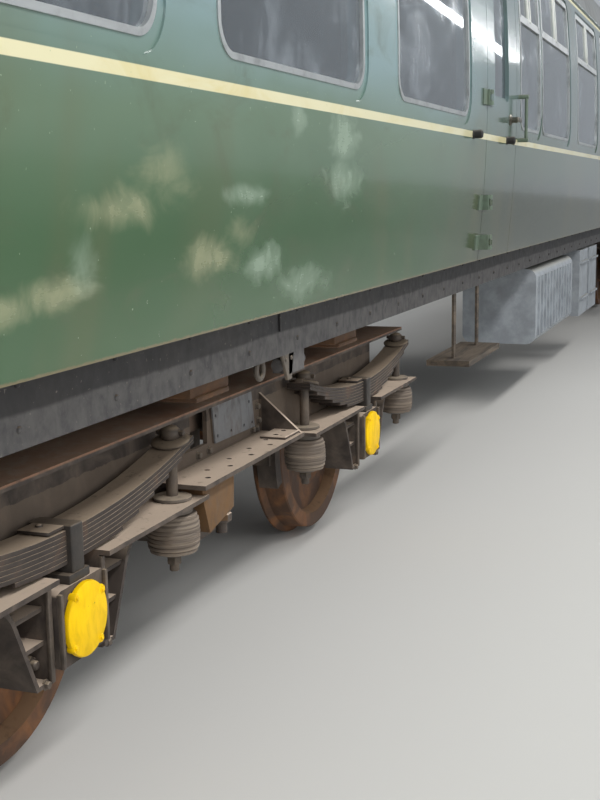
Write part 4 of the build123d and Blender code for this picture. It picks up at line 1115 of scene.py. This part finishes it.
@dataclass
class RunningGear:
    """What repeats on every bogie: leaf springs, hangers, rubber springs, covers and bolts.

    Heights are above the middle of the axle, and reaches are from an axle along the bogie.
    """

    crew: Crew
    paints: Paints
    bogies: Sequence[Bogie]
    spring_y: float = 1.005
    leaf_width: float = 0.100
    leaf_thick: float = 0.013
    leaf_gap: float = 0.0008
    leaf_halves: tuple[float, ...] = (0.750, 0.750, 0.665, 0.570, 0.470, 0.370, 0.270)
    leaf_top: float = 0.243
    spring_rise: float = 0.085
    hanger_reach: float = 0.685
    rod_radius: float = 0.019
    rod_foot: float = -0.085
    pot_radius: float = 0.085
    pot_foot: float = -0.019
    pot_head: float = 0.106
    pot_layers: int = 9
    arm_under: float = 0.133
    arm_top: float = 0.147
    guide_bolt: tuple[float, float] = (0.166, -0.074)
    box_half: float = 0.122
    box_face_y: float = 1.075
    cover_radius: float = 0.102
    web_y: float = 0.925
    rivets_each_way: int = 6
    rivet_pitch: float = 0.27
    rivet_line: float = 0.403

    def build(self) -> None:
        """Build every repeated set and fit it to both bogies."""
        paints = self.paints
        axles = [axle - self.bogies[0].x for axle in self.bogies[0].axles]
        # what is built, its name, its finish, its slot, whether it stands for the node of that name
        for unit, name, material, slot, replaces in (
                (self.leaf_pack, "leaf_springs", paints.spring, "spring_steel", True),
                (self.buckle, "spring_buckles", paints.strap, "spring_steel", False),
                (self.hanger_pair, "spring_hangers", paints.worn_steel, "spring_steel", True),
                (self.pot_pair, "rubber_springs", paints.rubber, "rubber_grey", True),
                (self.pot_plates, "rubber_spring_plates", paints.plate, "bogie_brown", False),
                (self.cover, "axlebox_covers", paints.cover, "cover_yellow", True),
                (self.keepers, "axlebox_keepers", paints.worn_steel, "bogie_brown", False),
                (self.frame_bolts, "frame_bolts", paints.plate, "bogie_brown", False)):
            reaches = (0.0,) if name == "frame_bolts" else axles
            self.place(spread(unit(), reaches), name, material, slot, replaces)

    def place(self, unit: Piece, name: str, material: bpy.types.Material, slot: str,
              replaces: bool) -> None:
        """Fit a finished set to every bogie.

        Args:
            unit: The set, about the middle of a bogie and the middle of an axle.
            name: What the set is called.
            material: Its finish.
            slot: The record's slot.
            replaces: True where it stands for each bogie's node of the same name.
        """
        ending = "_fine" if replaces else ""
        for bogie in self.bogies:
            piece = copied(unit, (bogie.x, 0, bogie.axle_z))
            nodes = [f"{bogie.body}_{name}"] if replaces else []
            self.crew.fit(piece, f"{bogie.body}_{name}{ending}", bogie.body, material, slot, nodes)
        bpy.data.objects.remove(unit)

    def leaf(self, index: int) -> Piece:
        """One spring leaf, swept along its arc from one tip to the other."""
        flat_radius = (self.hanger_reach ** 2 + self.spring_rise ** 2) / (2 * self.spring_rise)
        radius = flat_radius + (index + 0.5) * self.leaf_thick
        turn = asin(self.leaf_halves[index] / radius)
        centre_z = self.leaf_top + flat_radius
        start = (radius * sin(turn), -self.spring_y, centre_z - radius * cos(turn))
        piece = plane(start, (self.leaf_thick - self.leaf_gap, self.leaf_width), (0, pi / 2 - turn, 0))
        bpy.ops.object.mode_set(mode="EDIT")
        bpy.ops.mesh.select_all(action="SELECT")
        bpy.ops.mesh.spin(steps=18, angle=-2 * turn, center=(0, -self.spring_y, centre_z),
                          axis=(0, 1, 0))
        bpy.ops.object.mode_set(mode="OBJECT")
        finish_mesh(piece, 20)
        return bevelled(piece, 0.0016, 2)

    def leaf_pack(self) -> Piece:
        """All the leaves of one spring, with the clip on top."""
        return joined([self.leaf(index) for index in range(len(self.leaf_halves))] + [self.clip()])

    def buckle(self) -> Piece:
        """The strap round the middle of a spring, with its top plate and its seat on the axlebox."""
        y = -self.spring_y
        half_y = self.leaf_width / 2 + 0.016
        strap = block((-0.030, y - half_y, 0.128), (0.030, y + half_y, self.leaf_top + 0.014), 0.006, 3)
        seat = block((-0.052, y - half_y - 0.002, 0.104), (0.052, y + half_y, 0.130), 0.005)
        return joined([strap, seat])

    def clip(self) -> Piece:
        """The pointed plate that leaves the top of a spring's strap."""
        y, z = -self.spring_y, self.leaf_top
        clip = block((-0.105, y - 0.045, z + 0.004), (-0.028, y + 0.050, z + 0.014), 0.003)
        with editing(clip) as mesh:
            pick_faces(mesh, lambda face: face.normal.x < -0.9)
            bpy.ops.transform.resize(value=(1, 0.35, 1), center_override=(-0.105, y + 0.02, z))
        return joined([clip, rivet(0.010, (-0.060, y + 0.012, z + 0.014))])

    def hanger(self) -> Piece:
        """One spring hanger on the +X side of its axle: rod, nuts, tilted saddle and domed head."""
        y, reach = -self.spring_y, self.hanger_reach
        tip = self.leaf_top + self.spring_rise
        foot = self.pot_foot
        thread = self.rod_radius - 0.003
        rod = turned([(thread - 0.002, self.rod_foot), (thread, self.rod_foot + 0.003),
                      (thread, foot - 0.010), (self.rod_radius, foot), (self.rod_radius, tip + 0.030)],
                     (reach, y, 0), sides=20)
        nut = turned([(0.023, foot - 0.042), (0.025, foot - 0.039), (0.025, foot - 0.013),
                      (0.023, foot - 0.008)], (reach, y, 0), sides=6)
        saddle = turned([(0.038, -0.003), (0.060, 0.000), (0.062, 0.006), (0.056, 0.011),
                         (0.034, 0.014)], (0, 0, 0), sides=28)
        lean = atan2(2 * self.spring_rise, self.hanger_reach)
        seat = Matrix.Translation((reach, y, tip + 0.003))
        saddle.data.transform(seat @ Matrix.Rotation(-lean, 4, "Y"))
        head = turned([(0.020, 0.008), (0.029, 0.016), (0.034, 0.030), (0.031, 0.044), (0.021, 0.054),
                       (0.007, 0.059)], (reach, y, tip), sides=24, angle=50)
        pin = turned([(0.006, -0.048), (0.009, -0.046), (0.009, 0.046), (0.006, 0.048)],
                     (reach, y, tip + 0.034), Axis.Y, 12)
        lug = block((reach + 0.022, y - 0.016, tip + 0.010), (reach + 0.062, y + 0.016, tip + 0.030),
                    0.004)
        return joined([rod, nut, saddle, head, pin, lug])

    def hanger_pair(self) -> Piece:
        """The hangers at both ends of one spring."""
        return with_mirror(self.hanger())

    def pot(self) -> Piece:
        """One layered rubber spring on the +X side of its axle."""
        height = self.pot_head - self.pot_foot
        layer = height / self.pot_layers
        # share of the full radius at the foot of each layer
        shares = (0.90, 0.965, 0.99, 1.0, 1.0, 0.995, 0.985, 0.96, 0.90)
        profile = [(self.pot_radius * 0.80, self.pot_foot)]
        for index, share in enumerate(shares):
            z = self.pot_foot + index * layer
            full = self.pot_radius * share
            # how far in from the full radius, and how far up the layer
            for inset, up in ((0.001, 0.05), (0, 0.2), (0, 0.76), (0.0022, 0.86), (0.0022, 0.98)):
                profile.append((full - inset, z + up * layer))
        profile.append((self.pot_radius * 0.80, self.pot_head))
        return turned(profile, (self.hanger_reach, -self.spring_y, 0), sides=44, angle=28)

    def pot_pair(self) -> Piece:
        """The rubber springs of one spring."""
        return with_mirror(self.pot())

    def pot_plates(self) -> Piece:
        """The plates over and under the rubber springs of one spring, and the washers on its arms."""
        at = (self.hanger_reach, -self.spring_y, 0)
        head, under, floor, arm = self.pot_head, self.arm_under, self.pot_foot, self.arm_top
        top, foot, washer = (turned(profile, at, sides=28) for profile in (
            [(0.060, head), (0.064, head + 0.003), (0.064, under - 0.003), (0.058, under)],
            [(0.046, floor - 0.010), (0.052, floor - 0.007), (0.060, floor)],
            [(0.058, arm - 0.001), (0.062, arm + 0.003), (0.062, arm + 0.011), (0.056, arm + 0.014)]))
        return with_mirror(joined([top, foot, washer]))

    def cover(self) -> Piece:
        """The round cover of an axlebox with its bolt lugs."""
        at = (0, -self.box_face_y, 0)
        full = self.cover_radius
        disc = turned([(full - 0.006, -0.001), (full - 0.001, 0.003), (full, 0.010),
                       (full - 0.002, 0.016), (full - 0.008, 0.020)], at, Axis.Y, 56, True)
        lugs = []
        for quarter in range(4):
            angle = radians(38 + 90 * quarter)
            reach = full - 0.009
            lug_at = (reach * cos(angle), -self.box_face_y - 0.008, reach * sin(angle))
            lugs += [turned([(0.013, -0.008), (0.014, 0.008), (0.011, 0.013)], lug_at, Axis.Y, 18, True),
                     turned([(0.007, 0.010), (0.007, 0.015), (0.005, 0.017)], lug_at, Axis.Y, 6, True)]
        return joined([disc] + lugs)

    def keepers(self) -> Piece:
        """Keeper strips and bolts down both sides of one axlebox, and the ribs of the box."""
        parts = []
        face_y = self.box_face_y
        for side in (-1, 1):
            inner, outer = sorted((side * (self.box_half + 0.005), side * (self.box_half + 0.024)))
            parts.append(block((inner, -face_y + 0.010, -0.128), (outer, -face_y + 0.021, 0.128), 0.003))
            rim0, rim1 = sorted((side * (self.box_half - 0.016), side * (self.box_half - 0.002)))
            parts.append(block((rim0, -face_y - 0.012, -0.100), (rim1, -face_y + 0.004, 0.100), 0.004))
            shank_at = (side * self.guide_bolt[0], -self.web_y, self.guide_bolt[1])
            shank = [(0.013, 0.025), (0.013, 0.108), (0.010, 0.112)]
            nut = [(0.021, 0.070), (0.024, 0.074), (0.024, 0.092), (0.021, 0.096)]
            parts.append(turned(shank, shank_at, Axis.Y, 16, True))
            parts.append(turned(nut, shank_at, Axis.Y, 6, True))
            parts.append(hexagon_bolt(0.011, (side * 0.158, -face_y + 0.022, -0.126), Axis.Y, True))
        return joined(parts)

    def frame_bolts(self) -> Piece:
        """Bolts and rivets on one side of a bogie frame."""
        parts = []
        # X from the middle of the bogie, height above the axle
        for x, z in ((0.295, 0.288), (0.305, 0.232), (0.282, 0.203), (0.246, 0.205),
                     (-0.156, 0.207), (-0.244, 0.207)):
            parts.append(hexagon_bolt(0.012, (x, -self.web_y, z), Axis.Y, True))
        for index in range(-self.rivets_each_way, self.rivets_each_way + 1):
            place = (index * self.rivet_pitch, -self.web_y, self.rivet_line)
            parts.append(rivet(0.011, place, Axis.Y, True))
        return joined(parts)


# Body


@dataclass(frozen=True)
class SideCurve:
    """The upright curve of the body side: one arc through its foot, its waist and its top."""

    foot: tuple[float, float] = (1.366, 1.224)
    waist: tuple[float, float] = (1.410, 1.958)
    top: tuple[float, float] = (1.356, 2.948)

    def reach(self, z: float) -> float:
        """How far out the skin is at a height.

        Args:
            z: The height.

        Returns:
            The distance from the middle line.
        """
        (ay, az), (by, bz), (cy, cz) = self.foot, self.waist, self.top
        twice = 2 * (ay * (bz - cz) + by * (cz - az) + cy * (az - bz))
        sa, sb, sc = (y * y + h * h for y, h in (self.foot, self.waist, self.top))
        middle_y = (sa * (bz - cz) + sb * (cz - az) + sc * (az - bz)) / twice
        middle_z = (sa * (cy - by) + sb * (ay - cy) + sc * (by - ay)) / twice
        radius = hypot(ay - middle_y, az - middle_z)
        return middle_y + (radius ** 2 - (z - middle_z) ** 2) ** 0.5


def four_ways(unit: Piece) -> Piece:
    """A unit of the near side, with its mirror images along and across the coach.

    Args:
        unit: The unit.

    Returns:
        All four as one piece.
    """
    near = with_mirror(unit)
    return joined([near, mirrored(near, 1)])


@dataclass
class BodyTrim:
    """Pieces fixed to the body: gutters, vent bars, solebar bolts and brackets."""

    crew: Crew
    paints: Paints
    bogie: Bogie
    curve: SideCurve
    sole_y: float = 1.225
    sole_foot: float = 1.041
    sole_top: float = 1.224
    gutter_z: float = 2.964
    transom_top: float = 2.554
    vent_head: float = 2.867
    rivet_pitch: float = 0.43
    first_rivet: float = -2.2

    def build(self) -> None:
        """Build the trim and fit it to the body."""
        paints = self.paints
        for unit, name, material, slot in (
                (self.vent_bars, "vent_bars", paints.vent_white, "window_bright"),
                (self.gutters, "roof_gutters", paints.body, "body_green"),
                (self.solebar_bolts, "solebar_bolts", paints.solebar, "underframe_black"),
                (self.brackets, "solebar_brackets", paints.plate, "underframe_black"),
                (self.side_bearers, "side_bearer_blocks", paints.rusty_plate, "bogie_brown")):
            piece = unit() if name == "roof_gutters" else four_ways(unit())
            self.crew.fit(piece, name, "coach_body", material, slot)

    def window_middles(self) -> list[tuple[float, float]]:
        """The two ends of each window on the first half of the near side, read from the frames."""
        mesh = self.crew.nodes["window_frames"].data
        xs = sorted({round(v.co.x, 3) for v in mesh.vertices if v.co.y < 0 and v.co.x < 0})
        spans, start, last = [], xs[0], xs[0]
        for x in xs[1:]:
            if x - last > 0.05 and not self.crosses(start, last, x):
                spans.append((start, last))
                start = x
            last = x
        spans.append((start, last))
        return spans

    def crosses(self, start: float, last: float, x: float) -> bool:
        """True where one transom face spans two places, so that they are one window."""
        mesh = self.crew.nodes["window_frames"].data
        middle = (last + x) / 2
        for face in mesh.polygons:
            xs = [mesh.vertices[v].co.x for v in face.vertices]
            if min(xs) < middle < max(xs) and mesh.vertices[face.vertices[0]].co.y < 0:
                return True
        return False

    def vent_bars(self) -> Piece:
        """Pale upright bars where the two sliding vents of each window meet."""
        bars = []
        low_y, high_y = self.curve.reach(self.transom_top), self.curve.reach(self.vent_head)
        for left, right in self.window_middles():
            middle = (left + right) / 2
            for x in (middle - 0.034, middle + 0.034):
                bar = block((x - 0.013, -low_y + 0.001, self.transom_top),
                            (x + 0.013, -low_y + 0.016, self.vent_head))
                with editing(bar) as mesh:
                    pick_faces(mesh, lambda face: face.normal.z > 0.9)
                    bpy.ops.transform.translate(value=(0, low_y - high_y, 0))
                bars.append(bevelled(bar, 0.003))
        return joined(bars)

    def gutters(self) -> Piece:
        """Rain strips along both edges of the roof."""
        low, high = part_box("roof")
        y = self.curve.reach(self.curve.top[1])
        strip = block((low.x, -y - 0.010, self.gutter_z),
                      (high.x, -y + 0.020, self.gutter_z + 0.014), 0.003)
        with editing(strip) as mesh:
            pick_faces(mesh, lambda face: face.normal.z < -0.9)
            bpy.ops.transform.resize(value=(1, 0.5, 1), center_override=(0, -y + 0.02, self.gutter_z))
        return joined([strip, mirrored(strip, 1)])

    def solebar_bolts(self) -> Piece:
        """Rivets along the web of a solebar, and the butt strap over its joint."""
        parts = []
        x = self.bogie.x + self.first_rivet
        while x < -0.1:
            for z in (self.sole_foot + 0.045, self.sole_top - 0.038):
                parts.append(rivet(0.009, (x, -self.sole_y, z), Axis.Y, True))
            x += self.rivet_pitch
        joint = self.bogie.x - 0.22
        parts.append(block((joint - 0.006, -self.sole_y - 0.006, self.sole_foot + 0.085),
                           (joint + 0.006, -self.sole_y + 0.002, self.sole_top - 0.004), 0.002))
        return joined(parts)

    def brackets(self) -> Piece:
        """The gusset and the eye under the solebar beside the bogie."""
        x, y, z = self.bogie.x - 0.14, -self.sole_y, self.sole_foot
        gusset = block((x - 0.055, y, z - 0.090), (x + 0.055, y + 0.012, z + 0.002))
        with editing(gusset) as mesh:
            pick_faces(mesh, lambda face: face.normal.z < -0.9)
            bpy.ops.transform.resize(value=(0.3, 1, 1), center_override=(x + 0.02, y, z))
        bevelled(gusset, 0.002)
        bolts = [rivet(0.008, (x + dx, y, z - 0.016), Axis.Y, True) for dx in (-0.026, 0.026)]
        bpy.ops.mesh.primitive_torus_add(location=(x - 0.15, y + 0.045, z - 0.036),
                                         rotation=(pi / 2, 0, 0), major_radius=0.030,
                                         minor_radius=0.009, major_segments=28, minor_segments=10)
        bpy.ops.object.transform_apply(location=True, rotation=True, scale=True)
        eye = finish_mesh(bpy.context.object)
        hanger = block((x - 0.166, y + 0.036, z - 0.012), (x - 0.134, y + 0.054, z + 0.002), 0.002)
        return joined([gusset, eye, hanger] + bolts)

    def side_bearers(self) -> Piece:
        """Rusty bearer blocks between the solebar and the bogie frame."""
        parts = []
        y, z = -self.sole_y, self.sole_foot
        for x0, x1 in ((-0.80, -0.52), (0.52, 0.80)):
            x0, x1 = self.bogie.x + x0, self.bogie.x + x1
            body = block((x0, y + 0.055, z - 0.052), (x1, -0.96, z + 0.006), 0.006)
            lip = block((x0 + 0.02, y + 0.045, z - 0.066), (x1 - 0.02, -0.97, z - 0.050), 0.004)
            parts += [body, lip]
        return joined(parts)


@dataclass
class DoorFurniture:
    """Handle, lock and stop of each side door, and the stop beside it."""

    crew: Crew
    paints: Paints
    curve: SideCurve
    bogie: Bogie
    stop_z: float = 1.846
    handle_z: float = 1.958
    body_stop: float = 1.930
    door_stop: float = 2.790
    handle: float = 2.865
    lock: float = 2.984

    def build(self) -> None:
        """Build one doorway's furniture and fit it to all four."""
        door_x = self.middle("door_near_front")
        shift = self.middle("door_near_rear") - door_x
        on_door = self.stop(self.door_stop)
        metal = self.door_metal()
        beside = self.stop(self.body_stop)
        for name, move, half_turn in (("near_front", 0.0, False), ("near_rear", shift, False),
                                      ("far_front", shift, True), ("far_rear", 0.0, True)):
            for unit, label, body, material in (
                    (on_door, "stop", f"door_{name}", self.paints.black_rubber),
                    (metal, "furniture", f"door_{name}", self.paints.fitting),
                    (beside, "body_stop", "coach_body", self.paints.black_rubber)):
                # a half turn comes before the shift, so a turned unit moves the other way
                piece = copied(unit, (-move if half_turn else move, 0, 0), half_turn)
                self.crew.fit(piece, f"door_{name}_{label}", body, material, "fitting_dark")
        for unit in (on_door, metal, beside):
            bpy.data.objects.remove(unit)

    def middle(self, node: str) -> float:
        """X of the middle of a node."""
        low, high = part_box(node)
        return (low.x + high.x) / 2

    def stop(self, reach: float) -> Piece:
        """A black rubber buffer with a domed end over a stop.

        Args:
            reach: X of the stop from the middle of the nearer bogie.

        Returns:
            The buffer.
        """
        at = (self.bogie.x + reach, -self.curve.reach(self.stop_z), self.stop_z)
        return turned([(0.022, -0.002), (0.022, 0.004), (0.0195, 0.008), (0.021, 0.030), (0.020, 0.041),
                       (0.014, 0.046)], at, Axis.Y, 24, True)

    def door_metal(self) -> Piece:
        """The turning handle on its rose, and the lock below it."""
        x, y, z = self.bogie.x + self.handle, -self.curve.reach(self.handle_z), self.handle_z
        rose = turned([(0.031, -0.001), (0.031, 0.003), (0.026, 0.008), (0.018, 0.012)], (x, y, z),
                      Axis.Y, 28, True)
        neck = turned([(0.0165, 0.008), (0.0155, 0.026), (0.0175, 0.040)], (x, y, z), Axis.Y, 20, True)
        bar = block((x - 0.053, y - 0.057, z - 0.0125), (x + 0.053, y - 0.038, z + 0.0125), 0.005, 3)
        lock_at = (self.bogie.x + self.lock, -self.curve.reach(self.stop_z), self.stop_z)
        lock = turned([(0.019, -0.001), (0.019, 0.004), (0.015, 0.009), (0.008, 0.010), (0.008, 0.006)],
                      lock_at, Axis.Y, 24, True)
        return joined([rose, neck, bar, lock])


@dataclass
class Gangway:
    """Pleated bellows between the end wall and each face plate."""

    crew: Crew
    paints: Paints
    folds: int = 6
    valley: float = 0.045
    corner: float = 0.060
    cloth: float = 0.008

    def build(self) -> None:
        """Build the bellows of the rear end, mirror it to the front and fit both."""
        low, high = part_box("gangway_bellows")
        half = high.y
        x0, x1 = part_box("end_wall_rear")[1].x, high.x
        middle_z = (low.z + high.z) / 2
        height = high.z - low.z
        inner_height, inner_half = height - 2 * self.valley, half - self.valley
        piece = plane((x0, 0, middle_z), (inner_height, 2 * inner_half), (0, pi / 2, 0))
        bpy.ops.object.mode_set(mode="EDIT")
        bpy.ops.mesh.select_mode(type="VERT")
        bpy.ops.mesh.select_all(action="SELECT")
        bpy.ops.mesh.bevel(offset=self.corner, segments=4, affect="VERTICES")
        bpy.ops.mesh.select_all(action="SELECT")
        bpy.ops.mesh.delete(type="ONLY_FACE")
        bpy.ops.mesh.select_mode(type="EDGE")
        bpy.ops.mesh.select_all(action="SELECT")
        out_y, out_z = half / inner_half, height / inner_height
        step = (x1 - x0) / (2 * self.folds)
        x = x0
        for index in range(2 * self.folds):
            x += step
            grow = (1, out_y, out_z) if index % 2 == 0 else (1, 1 / out_y, 1 / out_z)
            bpy.ops.mesh.extrude_edges_move(TRANSFORM_OT_translate={"value": (step, 0, 0)})
            bpy.ops.transform.resize(value=grow, center_override=(x, 0, middle_z))
        bpy.ops.object.mode_set(mode="OBJECT")
        finish_mesh(piece, 40)
        inward = self.faces_out(piece, middle_z)
        apply_modifier(piece, "SOLIDIFY", thickness=self.cloth, offset=-1 if inward else 1,
                       use_even_offset=True)
        apply_modifier(piece, "BEVEL", width=0.004, segments=2, limit_method="ANGLE",
                       angle_limit=radians(40))
        finish_mesh(piece, 40)
        self.crew.fit(with_mirror(piece), "pleated_bellows", "coach_body", self.paints.bellows,
                      "bellows_black", ("gangway_bellows",))

    def faces_out(self, piece: Piece, middle_z: float) -> bool:
        """True where the open tube's faces point away from its middle line."""
        total = 0.0
        for face in piece.data.polygons:
            out = Vector((0, face.center.y, face.center.z - middle_z))
            total += face.normal.dot(out)
        return total > 0


@dataclass
class Saloon:
    """Padded seats, crowned and piped, over the seat frames."""

    crew: Crew
    paints: Paints
    pull: float = 0.012
    gap: float = 0.004
    flat_below: float = 0.3

    def build(self) -> None:
        """Build a padded piece over each cushion solid of the frame and fit them as two pieces."""
        bases, backs = [], []
        for low, high in self.solids():
            flat = high.z - low.z < self.flat_below
            (bases if flat else backs).append(self.pad(low, high))
        for pads, name in ((bases, "seat_base_pads"), (backs, "seat_back_pads")):
            piece = joined(pads)
            self.crew.fit(piece, name, "coach_body", self.paints.cloth, "seat_cloth",
                          ("seat_cushions",) if name == "seat_base_pads" else ())

    def solids(self) -> list[tuple[Vector, Vector]]:
        """The corners of every cushion solid, read from the node's loose parts."""
        mesh = self.crew.nodes["seat_cushions"].data
        parent = {}

        def root(key: tuple) -> tuple:
            """The first place of the solid that this place belongs to."""
            while parent.setdefault(key, key) != key:
                key = parent[key]
            return key

        spots = [tuple(round(c, 4) for c in v.co) for v in mesh.vertices]
        for face in mesh.polygons:
            first = root(spots[face.vertices[0]])
            for index in face.vertices[1:]:
                parent[root(spots[index])] = first
        groups: dict[tuple, list] = {}
        for spot in set(spots):
            groups.setdefault(root(spot), []).append(spot)
        return [(Vector(map(min, zip(*group))), Vector(map(max, zip(*group))))
                for group in groups.values()]

    def pad(self, low: Vector, high: Vector) -> Piece:
        """One cushion inside its solid: soft edges, a crowned face, and a welt round it.

        Args:
            low: The lowest corner of the solid.
            high: The highest corner of the solid.

        Returns:
            The cushion.
        """
        size = high - low
        thin = 2 if size.z < self.flat_below else 0
        piece = block(tuple(c + self.gap for c in low), tuple(c - self.gap for c in high))
        middle = (low + high) / 2
        with editing(piece) as mesh:
            pick_faces(mesh, lambda face: abs(face.normal[thin]) > 0.9)
            bpy.ops.mesh.inset(thickness=0.045, use_individual=True)
            grow = [0.97, 0.97, 0.97]
            grow[thin] = 1.0
            bpy.ops.mesh.inset(thickness=0.05, use_individual=True)
            pick_faces(mesh, lambda face: abs(face.normal[thin]) < 0.3 and face.calc_area() > 0.01)
            bpy.ops.mesh.inset(thickness=0.02, use_individual=True)
            push = [1.0, 1.0, 1.0]
            for axis in range(3):
                if axis != thin:
                    push[axis] = 1 - 2 * self.pull / size[axis]
            bpy.ops.transform.resize(value=push, center_override=tuple(middle))
        apply_modifier(piece, "SUBSURF", levels=2, render_levels=2)
        return finish_mesh(piece, 60)


@dataclass
class Buffers:
    """Sprung buffers at the four corners."""

    crew: Crew
    paints: Paints
    foot_half: float = 0.165
    plate_thick: float = 0.025
    bolt_reach: float = 0.126
    head_radius: float = 0.228

    def build(self) -> None:
        """Build one buffer, copy it to every corner and fit them as one piece."""
        low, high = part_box("buffers")
        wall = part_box("underframe")[1].x
        y = self.head_radius - high.y
        z = (low.z + high.z) / 2
        face = wall + self.plate_thick
        plate = block((wall, y - self.foot_half, z - 0.120), (face, y + self.foot_half, z + 0.130), 0.006)
        bolts = [hexagon_bolt(0.018, (face, y + across, z + up), Axis.X)
                 for across in (-self.bolt_reach, self.bolt_reach) for up in (-0.088, 0.088)]
        case = turned([(0.135, 0.020), (0.128, 0.034), (0.116, 0.060), (0.110, 0.150), (0.115, 0.156),
                       (0.118, 0.200), (0.118, 0.222), (0.108, 0.230)], (wall, y, z), Axis.X, 40)
        rim, reach = self.head_radius, high.x - wall
        # radius, and how far short of the face of the head
        back = [(0.080, 0.060), (0.092, 0.040), (0.150, 0.030), (rim - 0.006, 0.026), (rim, 0.020),
                (rim, 0.010), (rim - 0.006, 0.005), (0.150, 0)]
        ram = turned([(0.080, 0.220)] + [(radius, reach - short) for radius, short in back],
                     (wall, y, z), Axis.X, 48)
        unit = joined([plate, case, ram] + bolts)
        self.crew.fit(four_ways(unit), "sprung_buffers", "coach_body", self.paints.buffer, "buffer_steel",
                      ("buffers",))


# Studio


@dataclass
class Studio:
    """Camera, lamps, floor and world."""

    bogie: Bogie
    lens: float = 54.5
    eye: Point = (-3.951, -2.676, 1.578)
    yaw: float = 69.68
    pitch: float = 9.69
    roll: float = -0.83
    floor_half: float = 60.0
    floor_colour: Colour = srgb(205, 203, 198)
    world_colour: Colour = srgb(222, 228, 235)
    world_strength: float = 0.55

    def build(self) -> None:
        """Build the studio."""
        self.camera()
        self.floor()
        self.world()
        # name, place, size across and along, power, what it points at
        for name, place, size, power, aim in (
                ("overhead_strip", (-6.0, -4.2, 5.2), (0.5, 16.0), 420.0, (-6.0, -1.3, 1.2)),
                ("aisle_strip", (9.0, -5.2, 5.2), (0.16, 6.5), 45.0, (6.0, -1.3, 1.0)),
                ("side_fill", (-9.0, -7.0, 2.6), (5.0, 9.0), 170.0, (-6.5, -1.2, 0.8)),
                ("far_fill", (2.0, 8.0, 5.0), (6.0, 16.0), 350.0, (0.0, 0.0, 1.5))):
            self.lamp(name, place, size, power, aim)

    def camera(self) -> None:
        """Stand the camera at the photograph's place and angle."""
        yaw, pitch, roll = radians(self.yaw), radians(self.pitch), radians(self.roll)
        ahead = Vector((sin(yaw) * cos(pitch), cos(yaw) * cos(pitch), -sin(pitch)))
        right = Vector((cos(yaw), -sin(yaw), 0))
        up = right.cross(ahead)
        tilted_right = right * cos(roll) + up * sin(roll)
        tilted_up = up * cos(roll) - right * sin(roll)
        data = bpy.data.cameras.new("photo_camera")
        data.lens = self.lens
        data.clip_end = 200
        camera = bpy.data.objects.new("photo_camera", data)
        bpy.context.scene.collection.objects.link(camera)
        turn = Matrix((tilted_right, tilted_up, -ahead)).transposed().to_4x4()
        eye = Vector(self.eye) + Vector((self.bogie.x, 0, 0))
        camera.matrix_world = Matrix.Translation(eye) @ turn
        bpy.context.scene.camera = camera

    def floor(self) -> None:
        """Lay a plain pale floor under the wheels."""
        piece = plane((0, 0, 0), (2 * self.floor_half, 2 * self.floor_half))
        piece.name = "studio_floor"
        g = Graph("studio_floor")
        cloud = g.noise(0.6, 3)
        colour = g.mix(g.times(cloud, 0.08), self.floor_colour, srgb(180, 178, 172))
        dress(piece, g.close(Base_Color=colour, Roughness=0.9, Specular_IOR_Level=0.2))

    def world(self) -> None:
        """Surround the coach with even pale light."""
        world = bpy.data.worlds.new("studio")
        world.use_nodes = True
        background = world.node_tree.nodes["Background"]
        background.inputs["Color"].default_value = (*self.world_colour, 1)
        background.inputs["Strength"].default_value = self.world_strength
        bpy.context.scene.world = world
        bpy.context.scene.view_settings.view_transform = "Standard"

    def lamp(self, name: str, place: Point, size: tuple[float, float], power: float,
             aim: Point) -> None:
        """Hang one soft lamp.

        Args:
            name: What the lamp is called.
            place: Where it hangs.
            size: Its size across the coach and along it.
            power: Its power in watts.
            aim: The point that it faces.
        """
        data = bpy.data.lights.new(name, "AREA")
        data.shape = "RECTANGLE"
        data.size, data.size_y = size
        data.energy = power
        lamp = bpy.data.objects.new(name, data)
        bpy.context.scene.collection.objects.link(lamp)
        back = (Vector(place) - Vector(aim)).normalized()
        along = Vector((1, 0, 0))
        across = along.cross(back).normalized()
        along = back.cross(across)
        turn = Matrix((across, along, back)).transposed().to_4x4()
        lamp.matrix_world = Matrix.Translation(place) @ turn


def paint_frame(crew: Crew, paints: Paints) -> None:
    """Give every node of the frame its finish.

    Args:
        crew: Keeps the nodes.
        paints: The finishes.
    """
    for material, starts in (
            (paints.body, ("side_", "door_near", "door_far")),
            (paints.roof, ("roof",)),
            (paints.end, ("end_wall", "end_door_")),
            (paints.bright, ("window_frames",)),
            (paints.glass, ("window_glass", "droplight", "end_door_glass")),
            (paints.lino, ("floor",)),
            (paints.bellows, ("gangway_bellows",)),
            (paints.buffer, ("gangway_face", "buffers")),
            (paints.hinge, ("door_fittings",)),
            (paints.solebar, ("underframe",)),
            (paints.board, ("footboards",)),
            (paints.gear, ("tank", "equipment")),
            (paints.end, ("reservoirs", "drawgear")),
            (paints.screen, ("draught",)),
            (paints.seat_metal, ("seat_frames",)),
            (paints.cloth, ("seat_cushions",)),
            (paints.rack, ("luggage",)),
            (paints.tyre, ("wheelset",)),
            (paints.bogie, ("bogie_",))):
        crew.paint_nodes(material, *starts)


def main() -> None:
    """Load the frame, dress it, add the finer pieces and set up the studio."""
    logging.basicConfig(level=logging.INFO, format="%(name)s: %(message)s")
    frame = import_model()
    crew = Crew(frame)
    front, rear = Bogie.read("front"), Bogie.read("rear")
    Studio(front).build()
    paints = Paints(front.x)
    paint_frame(crew, paints)
    curve = SideCurve()
    RunningGear(crew, paints, (front, rear)).build()
    BodyTrim(crew, paints, front, curve).build()
    DoorFurniture(crew, paints, curve, front).build()
    Gangway(crew, paints).build()
    Saloon(crew, paints).build()
    Buffers(crew, paints).build()


if __name__ == "__main__":
    main()
